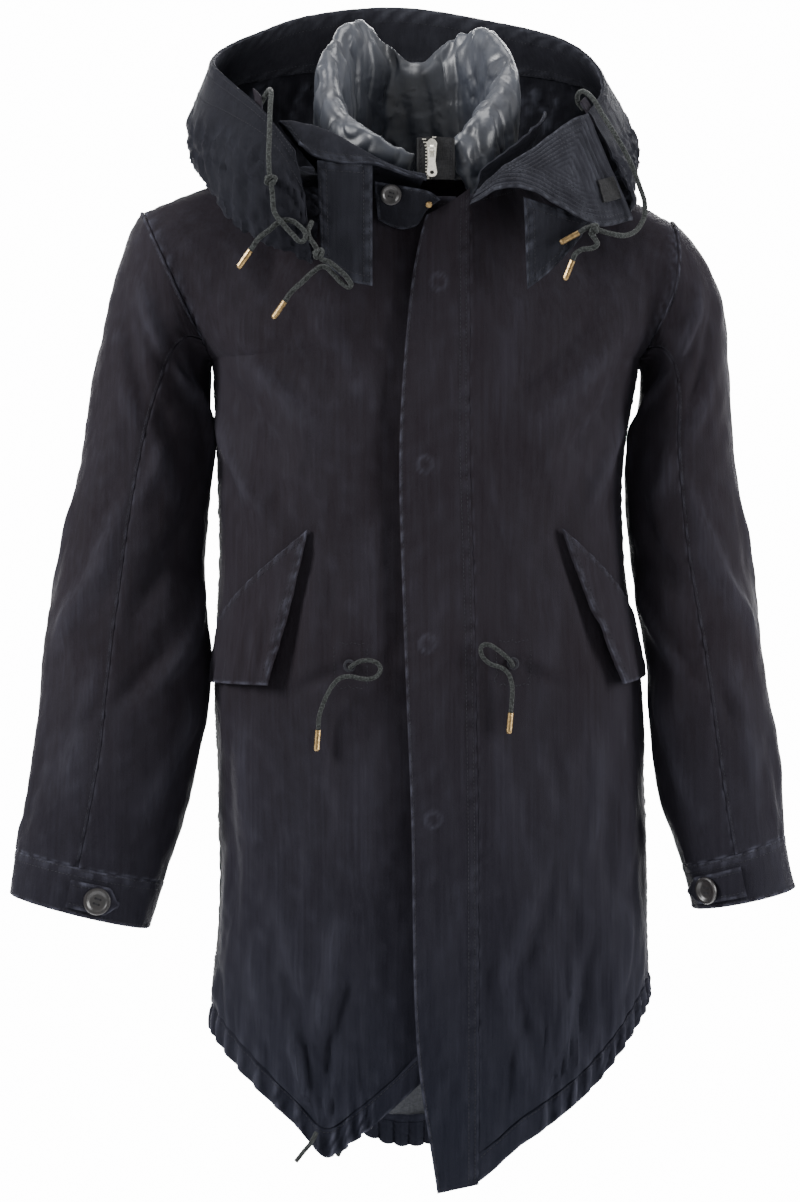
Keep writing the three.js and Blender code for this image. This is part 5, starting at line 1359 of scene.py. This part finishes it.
COLLAR_CAP = 4.5  # how far a point may swell
COLLAR_SLIM = 1.6  # how much slimmer the form is before it swells
COLLAR_ROUND = 640  # about the way round the neck
COLLAR_CHANNEL = 0.77  # the depth of the quilting channel
CHANNEL_PLACE = 0.12  # its place between the collar's foot at -1 and its crest at 1
VOXEL = 0.005  # in metres
PRESSURE = 4
SIM_FRAMES = 20


def collar_surface():
    feet = neck_seam(at(COLLAR["fx"], COLLAR["fy"], COLLAR["fz"]), COLLAR["half"] + COLLAR_INSET, 0)
    crests = at(COLLAR["cx"], COLLAR["cy"], COLLAR["cz"])

    def surface(u, turn, slim=0.0):
        foot, crest = through(feet, u), through(crests, u)
        half = spline(COLLAR["half"], u * (len(feet) - 1)) - slim
        way = crest - foot
        reach = np.linalg.norm(way, axis=-1) / 2 + half
        up = unit(way)
        along = unit(through(crests, u + 0.01) - through(crests, u - 0.01))
        across = unit(np.cross(along, up))
        c, s = np.cos(turn), np.sin(turn)
        tall = np.sign(c) * np.abs(c) ** 0.75 * reach
        wide = np.sign(s) * np.abs(s) ** 0.6 * half
        return (foot + crest) / 2 + up * tall[..., None] + across * wide[..., None]
    return surface


def apply_modifiers(piece):
    """Make a piece's modifiers part of its mesh."""
    bpy.context.view_layer.update()
    shape = piece.evaluated_get(bpy.context.evaluated_depsgraph_get())
    mesh = bpy.data.meshes.new_from_object(shape)
    piece.modifiers.clear()
    old, piece.data = piece.data, mesh
    bpy.data.meshes.remove(old)


def read_vertices(mesh, what):
    values = np.empty(len(mesh.vertices) * 3)
    mesh.vertices.foreach_get(what, values)
    return values.reshape(-1, 3)


def padded_collar():
    surface = collar_surface()
    count, sides = 96, 28
    turns = np.arange(sides) * 2 * math.pi / sides
    u, turn = np.meshgrid(np.linspace(0, 1, count + 1), turns, indexing="ij")
    points = surface(u, turn, COLLAR_SLIM).reshape(-1, 3)
    faces = tube_faces(count + 1, sides)
    faces += [tuple(range(sides))[::-1], tuple(count * sides + k for k in range(sides))]
    piece = keep("inner_collar_piece", points, faces, NYLON, ["inner_collar"])
    remesh = piece.modifiers.new("even", "REMESH")
    remesh.mode, remesh.voxel_size = "VOXEL", VOXEL
    apply_modifiers(piece)
    before = after = read_vertices(piece.data, "co")
    cloth = piece.modifiers.new("stuffing", "CLOTH")
    cloth.settings.use_pressure = True
    cloth.settings.uniform_pressure_force = PRESSURE
    cloth.settings.effector_weights.gravity = 0
    for frame_number in range(1, SIM_FRAMES + 1):
        bpy.context.scene.frame_set(frame_number)
    shape = piece.evaluated_get(bpy.context.evaluated_depsgraph_get())
    after = read_vertices(shape.data, "co")
    piece.modifiers.clear()
    bpy.context.scene.frame_set(1)
    off = (after - before) / MM
    far = np.linalg.norm(off, axis=1, keepdims=True)
    off *= np.minimum(1, COLLAR_CAP / np.maximum(far, 1e-6))
    piece.data.vertices.foreach_set("co", (before + off * MM).ravel())
    finer = piece.modifiers.new("finer", "SUBSURF")
    finer.levels = finer.render_levels = 1
    apply_modifiers(piece)
    mesh = piece.data
    points, normals = read_vertices(mesh, "co") / MM, read_vertices(mesh, "normal")
    fine_turns = np.linspace(0, 2 * math.pi, 72, endpoint=False)
    grid_u, grid_turn = np.meshgrid(np.linspace(0, 1, 240), fine_turns)
    samples = surface(grid_u, grid_turn).reshape(-1, 3)
    tree = KDTree(len(samples))
    for index, sample in enumerate(samples):
        tree.insert(sample, index)
    tree.balance()
    nearest = np.array([tree.find(p)[1] for p in points])
    share, around = grid_u.ravel()[nearest], grid_turn.ravel()[nearest]
    run = share * COLLAR_ROUND
    tall = np.cos(around)
    crest, foot = bell(tall, 0.32, 1), bell(tall, 0.6, -1)
    waves = ripple(run * 0.75 + 6 * np.sin(tall * 5), 201), ripple(run * 0.7 + 8 * tall, 202)
    height = 0.5 * waves[0] * crest + 1.6 * waves[1] * foot + 1.0 * ripple(run * 0.45 + 14 * tall, 203)
    height += 1.5 * crumple(points, 204, 52) + 0.16 * crumple(points, 205, 15)
    folded = sharp_crumple(points, 207, 30, 1.4, 0.35)
    height -= 1.3 * np.clip(folded, -0.4, 1) * mix(1, 0.25, bell(share, 0.16, 0.5))
    channel = bell(tall, 0.06, CHANNEL_PLACE)
    height -= COLLAR_CHANNEL * channel * (1 + 0.3 * ripple(run, 206))
    height += 0.6 * np.abs(waves[1]) * bell(tall, 0.3, CHANNEL_PLACE) - 0.4
    mesh.vertices.foreach_set("co", ((points + normals * height[:, None]) * MM).ravel())
    mesh.polygons.foreach_set("use_smooth", [True] * len(mesh.polygons))
    # The attribute holds only painted light here: a highlight where the collar stands out and shade in its
    # troughs.
    field = mesh.attributes.get("wear") or mesh.attributes.new("wear", "FLOAT", "POINT")
    field.data.foreach_set("value", np.clip(0.3 + 0.3 * height, 0, 1))
    mesh.materials.clear()
    mesh.materials.append(NYLON)
    mesh.update()


padded_collar()


# The collar's zip

zip_front = between([(-8, -121.4, -9), (5, -122.2, -9), (25, -121, -9)],
                    [(-8, -121.8, 27), (5, -123, 28), (25, -121.5, 27)])
zip_cloth = Cloth(zip_front, places(33, 1.4), places(36, 1.4))
zip_cloth.wrinkle(211, 0.25, 0.15, zip_cloth.calm("low", "high", reach=6))
for edge in ("left", "right"):
    zip_cloth.sew(edge, 212, (3.4,), 0.2, 5)
zip_cloth.make("zip_tape_cloth", 1.5, TAPE, "tape", rests_on=["inner_collar"])
stitch(zip_cloth.line("left", 3.4), zip_cloth.line("right", 3.4))


TEETH = 26


def zip_teeth():
    """Small moulded teeth with a waist, in two rows that part above the slider."""
    points, faces = [], []
    outline = [(-1.7, -0.55), (-0.6, -0.55), (0.2, -0.38), (1.0, -0.62), (1.7, -0.5),
               (1.7, 0.5), (1.0, 0.62), (0.2, 0.38), (-0.6, 0.55), (-1.7, 0.55)]
    n = len(outline)
    for k in range(TEETH):
        place = 0.02 + 0.96 * k / (TEETH - 1)
        lean = 1 if k % 2 else -1
        above = max(0.0, place - 0.74)
        middle = zip_front(np.array(0.4 + lean * (0.028 + 0.55 * above)), np.array(place))
        start = len(points)
        for layer in (0.15, 1.75):
            for x, z in outline:
                points.append(middle + np.array([-lean * x, -layer, z]))
        sides = tube_faces(2, n) + [tuple(range(n))[::-1], tuple(range(n, 2 * n))]
        faces += [tuple(start + i for i in (face if lean > 0 else face[::-1])) for face in sides]
    keep("zip_teeth", points, faces, SILVER, sharp=30)


zip_teeth()


# Cords

# Each cord has its diameter in millimetres, its length in metres and the points of its line.
CORDS = {
    "hood_cord_right_outer": (HOOD_CORD, 0.254, [
        (-143, -115.35, 57.8), (-137.4, -118.6, 67), (-134, -132, 66), (-134, -148, 48), (-134, -165, 24),
        (-134, -176, -4), (-131, -177, -28), (-129, -177, -44), (-123, -176, -52), (-114, -175, -62),
        (-106, -174, -68), (-103, -173, -62), (-108, -173, -55), (-116, -172, -50), (-125, -170.5, -51),
        (-134, -170, -58), (-143, -169, -65), (-150, -168, -75)]),
    "hood_cord_right_inner": (HOOD_CORD, 0.151, [
        (-98, -161.3, -50), (-100.5, -171, -62), (-94, -172, -73), (-90, -171, -82), (-83, -168, -85),
        (-75, -165, -91), (-67, -162, -99), (-65, -160, -105), (-71, -160, -103), (-79, -160, -95),
        (-88, -160, -88), (-96, -160, -92), (-106, -158, -101), (-116, -156, -110), (-121, -154, -117)]),
    "hood_cord_left": (HOOD_CORD, 0.237, [
        (138.9, -73.5, 58.2), (133.2, -77.4, 66), (136, -87, 72), (144, -98, 66), (153, -108, 50),
        (164, -118, 30), (176, -120, 8), (185, -118, -14), (190, -116, -32), (186, -120, -48),
        (174, -130, -58), (160, -138, -58), (148, -143, -55), (140, -146, -53), (131, -147, -58)]),
    "hood_cord_left_end": (HOOD_CORD, 0.040, [
        (140.6, -146, -57.1), (147, -146, -67), (142, -146, -71), (134, -146, -72), (128, -145, -76),
        (126, -144, -81)]),
    "waist_cord_right": (WAIST_CORD, 0.124, [
        (-66, -131.2, -432), (-61, -136, -428), (-52, -138, -425), (-43, -138, -427), (-39, -138, -433),
        (-45, -138, -440), (-55, -138, -441), (-66, -139, -439), (-75, -139, -441), (-82, -138, -449),
        (-88, -137, -461), (-92, -136, -473), (-93, -135.5, -485)]),
    "waist_cord_left": (WAIST_CORD, 0.109, [
        (75, -129.2, -430), (72, -136, -425), (64, -138, -418), (55, -138, -412), (48, -138, -413),
        (48, -138, -421), (55, -138, -428), (64, -139, -431), (71, -139, -437), (74, -138, -447),
        (74, -137, -458), (73, -136, -470)]),
    "hem_cord_right_outer": (WAIST_CORD, 0.031, [
        (-95, -107.6, -836), (-100, -110, -845), (-106, -111, -852), (-113, -110, -861)]),
    "hem_cord_right_inner": (WAIST_CORD, 0.033, [
        (-66, -105.3, -828), (-69, -103, -838), (-72, -100, -848), (-77, -98, -858)]),
}


def cord(name, diameter, length, points):
    line = through(np.array(points, float), np.linspace(0, 1, max(15, len(points))))
    data = bpy.data.curves.new(f"{name}_braid", "CURVE")
    data.dimensions = "3D"
    data.bevel_depth = diameter / 2 * MM
    data.bevel_resolution = 4
    data.resolution_u = 6
    data.use_fill_caps = True
    track = data.splines.new("BEZIER")
    track.bezier_points.add(len(line) - 1)
    for spot, point in zip(track.bezier_points, line):
        spot.co = Vector(point * MM)
        spot.handle_left_type = spot.handle_right_type = "AUTO"
    data.materials.append(CORD)
    piece = placed(f"{name}_braid", data)
    finish_piece(piece, [name])


KNOT_CORD = 2.1  # the cord's radius, as drawn tight


def knot(name, centre, way, size):
    """An overhand knot as a thick closed curve of three lobes, pulled tight."""
    first = unit(np.cross(way, (0.2, 0.9, 0.3)))
    second = np.cross(way, first)
    turns = np.linspace(0, 2 * math.pi, 72, endpoint=False)
    wide = size * (0.62 + 0.3 * np.cos(3 * turns))
    path = (np.array(centre) + np.outer(wide * np.cos(2 * turns), first) +
            np.outer(wide * np.sin(2 * turns), second) + np.outer(0.55 * size * np.sin(3 * turns), way))
    ahead = unit(np.roll(path, -1, 0) - np.roll(path, 1, 0))
    side = unit(np.cross(ahead, way))
    over = np.cross(side, ahead)
    sides = 10
    corner = (np.arange(sides) * 2 * math.pi / sides)[None, :, None]
    off = np.cos(corner) * side[:, None] + np.sin(corner) * over[:, None]
    points = (path[:, None] + KNOT_CORD * off).reshape(-1, 3)
    keep(name, points, tube_faces(len(path), sides, closed=True), CORD)


for name, (diameter, length, points) in CORDS.items():
    cord(name, diameter, length, points)
knot("hood_knot_right_outer", (-132.5, -176.5, -16), unit(np.array([0.1, 0.0, -1.0])), 4.6)
knot("hood_knot_right_inner", (-92, -171.4, -78), unit(np.array([0.5, 0.1, -0.9])), 4.2)
knot("hood_knot_left", (144, -145.2, -54.4), unit(np.array([-1.0, -0.2, 0.1])), 4.2)


def eyelet_patch(cloth, x, z, wide=15, high=19):
    """The stitched rectangle of the patch behind an eyelet, by its middle and its half sizes."""
    corners = [(x + wide * i, z + high * k) for i, k in ((-1, -1), (1, -1), (1, 1), (-1, 1), (-1, -1))]
    across, up = cloth.base[..., 0], cloth.base[..., 2]
    for (x0, z0), (x1, z1) in zip(corners, corners[1:]):
        line = []
        for t in np.linspace(0, 1, 9):
            away = (across - mix(x0, x1, t)) ** 2 + (up - mix(z0, z1, t)) ** 2
            spot = np.unravel_index(np.argmin(away), up.shape)
            line.append(np.concatenate([cloth.face()[spot], cloth.out[spot]]))
        stitch(np.array(line))


eyelet_patch(right_cloth, -66, -430)
eyelet_patch(left_cloth, 75, -428)
sew_thread("stitching", STITCH_LINES)

# Solids that are shown as they are, with their own materials
for name, skin in (("neck_snap", BRASS), ("zip_slider", SILVER), ("zip_pull_tab", SILVER),
                   ("waist_eyelet_right", THREAD), ("waist_eyelet_left", THREAD),
                   *((node, BRASS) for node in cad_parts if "aglet" in node)):
    for material_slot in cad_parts[name].material_slots:
        material_slot.material = skin


# The stage, the light and the camera

FLOOR_Z = -1.45


def staged(name, points, material):
    """A single face, for the floor or the backdrop."""
    mesh = bpy.data.meshes.new(name)
    mesh.from_pydata(points, [], [tuple(range(len(points)))])
    mesh.materials.append(material)
    placed(name, mesh)


def stage_floor():
    made, shader = paint("floor", Roughness=0.8, Specular_IOR_Level=0.2)
    n = Nodes(made)
    n.link(n.blend(n.noise((3, 3, 3)), (0.78, 0.78, 0.79), (0.83, 0.83, 0.84)), shader.inputs["Base Color"])
    count, reach = 64, 1.9
    turns = [2 * math.pi * k / count for k in range(count)]
    points = [(reach * math.cos(turn), reach * math.sin(turn), FLOOR_Z) for turn in turns]
    staged("floor", points, made)


def light(name, place, aim, size, power):
    data = bpy.data.lights.new(name, "AREA")
    data.shape, data.size, data.size_y = "RECTANGLE", size[0], size[1]
    data.energy = power
    lamp = placed(name, data)
    lamp.location = place
    lamp.rotation_euler = (Vector(aim) - Vector(place)).to_track_quat("-Z", "Y").to_euler()


def stage_backdrop():
    made, shader = paint("backdrop", Roughness=1.0, Specular_IOR_Level=0.0, Emission_Strength=14)
    shader.inputs["Emission Color"].default_value = (1, 1, 1, 1)
    wide, far, top = 5.5, 9.0, 5.0
    corners = [(-wide, far, -top), (wide, far, -top), (wide, far, top), (-wide, far, top)]
    staged("backdrop", corners, made)


stage_floor()
stage_backdrop()
world = bpy.data.worlds.new("studio")
bpy.context.scene.world = world
world.use_nodes = True
background = world.node_tree.nodes["Background"]
background.inputs["Color"].default_value = (1, 1, 1, 1)
background.inputs["Strength"].default_value = 0.85
light("key", (-2.7, -1.3, 0.9), (0, 0, -0.35), (0.9, 1.6), 260)
light("fill", (2.8, -1.0, 0.1), (0, 0, -0.45), (0.8, 2.0), 190)
light("top", (0.1, -0.3, 2.0), (0, 0, -0.2), (1.4, 1.0), 60)
light("back", (0.4, 2.6, 0.9), (0, 0, -0.3), (1.6, 1.6), 90)

eye = bpy.data.cameras.new("camera")
eye.sensor_fit, eye.sensor_height, eye.lens = "VERTICAL", 36, 106.5
camera = placed("camera", eye)
camera.location = (-0.0225, -3.2, -0.374)
camera.rotation_euler = (math.radians(90), 0, 0)
bpy.context.scene.camera = camera
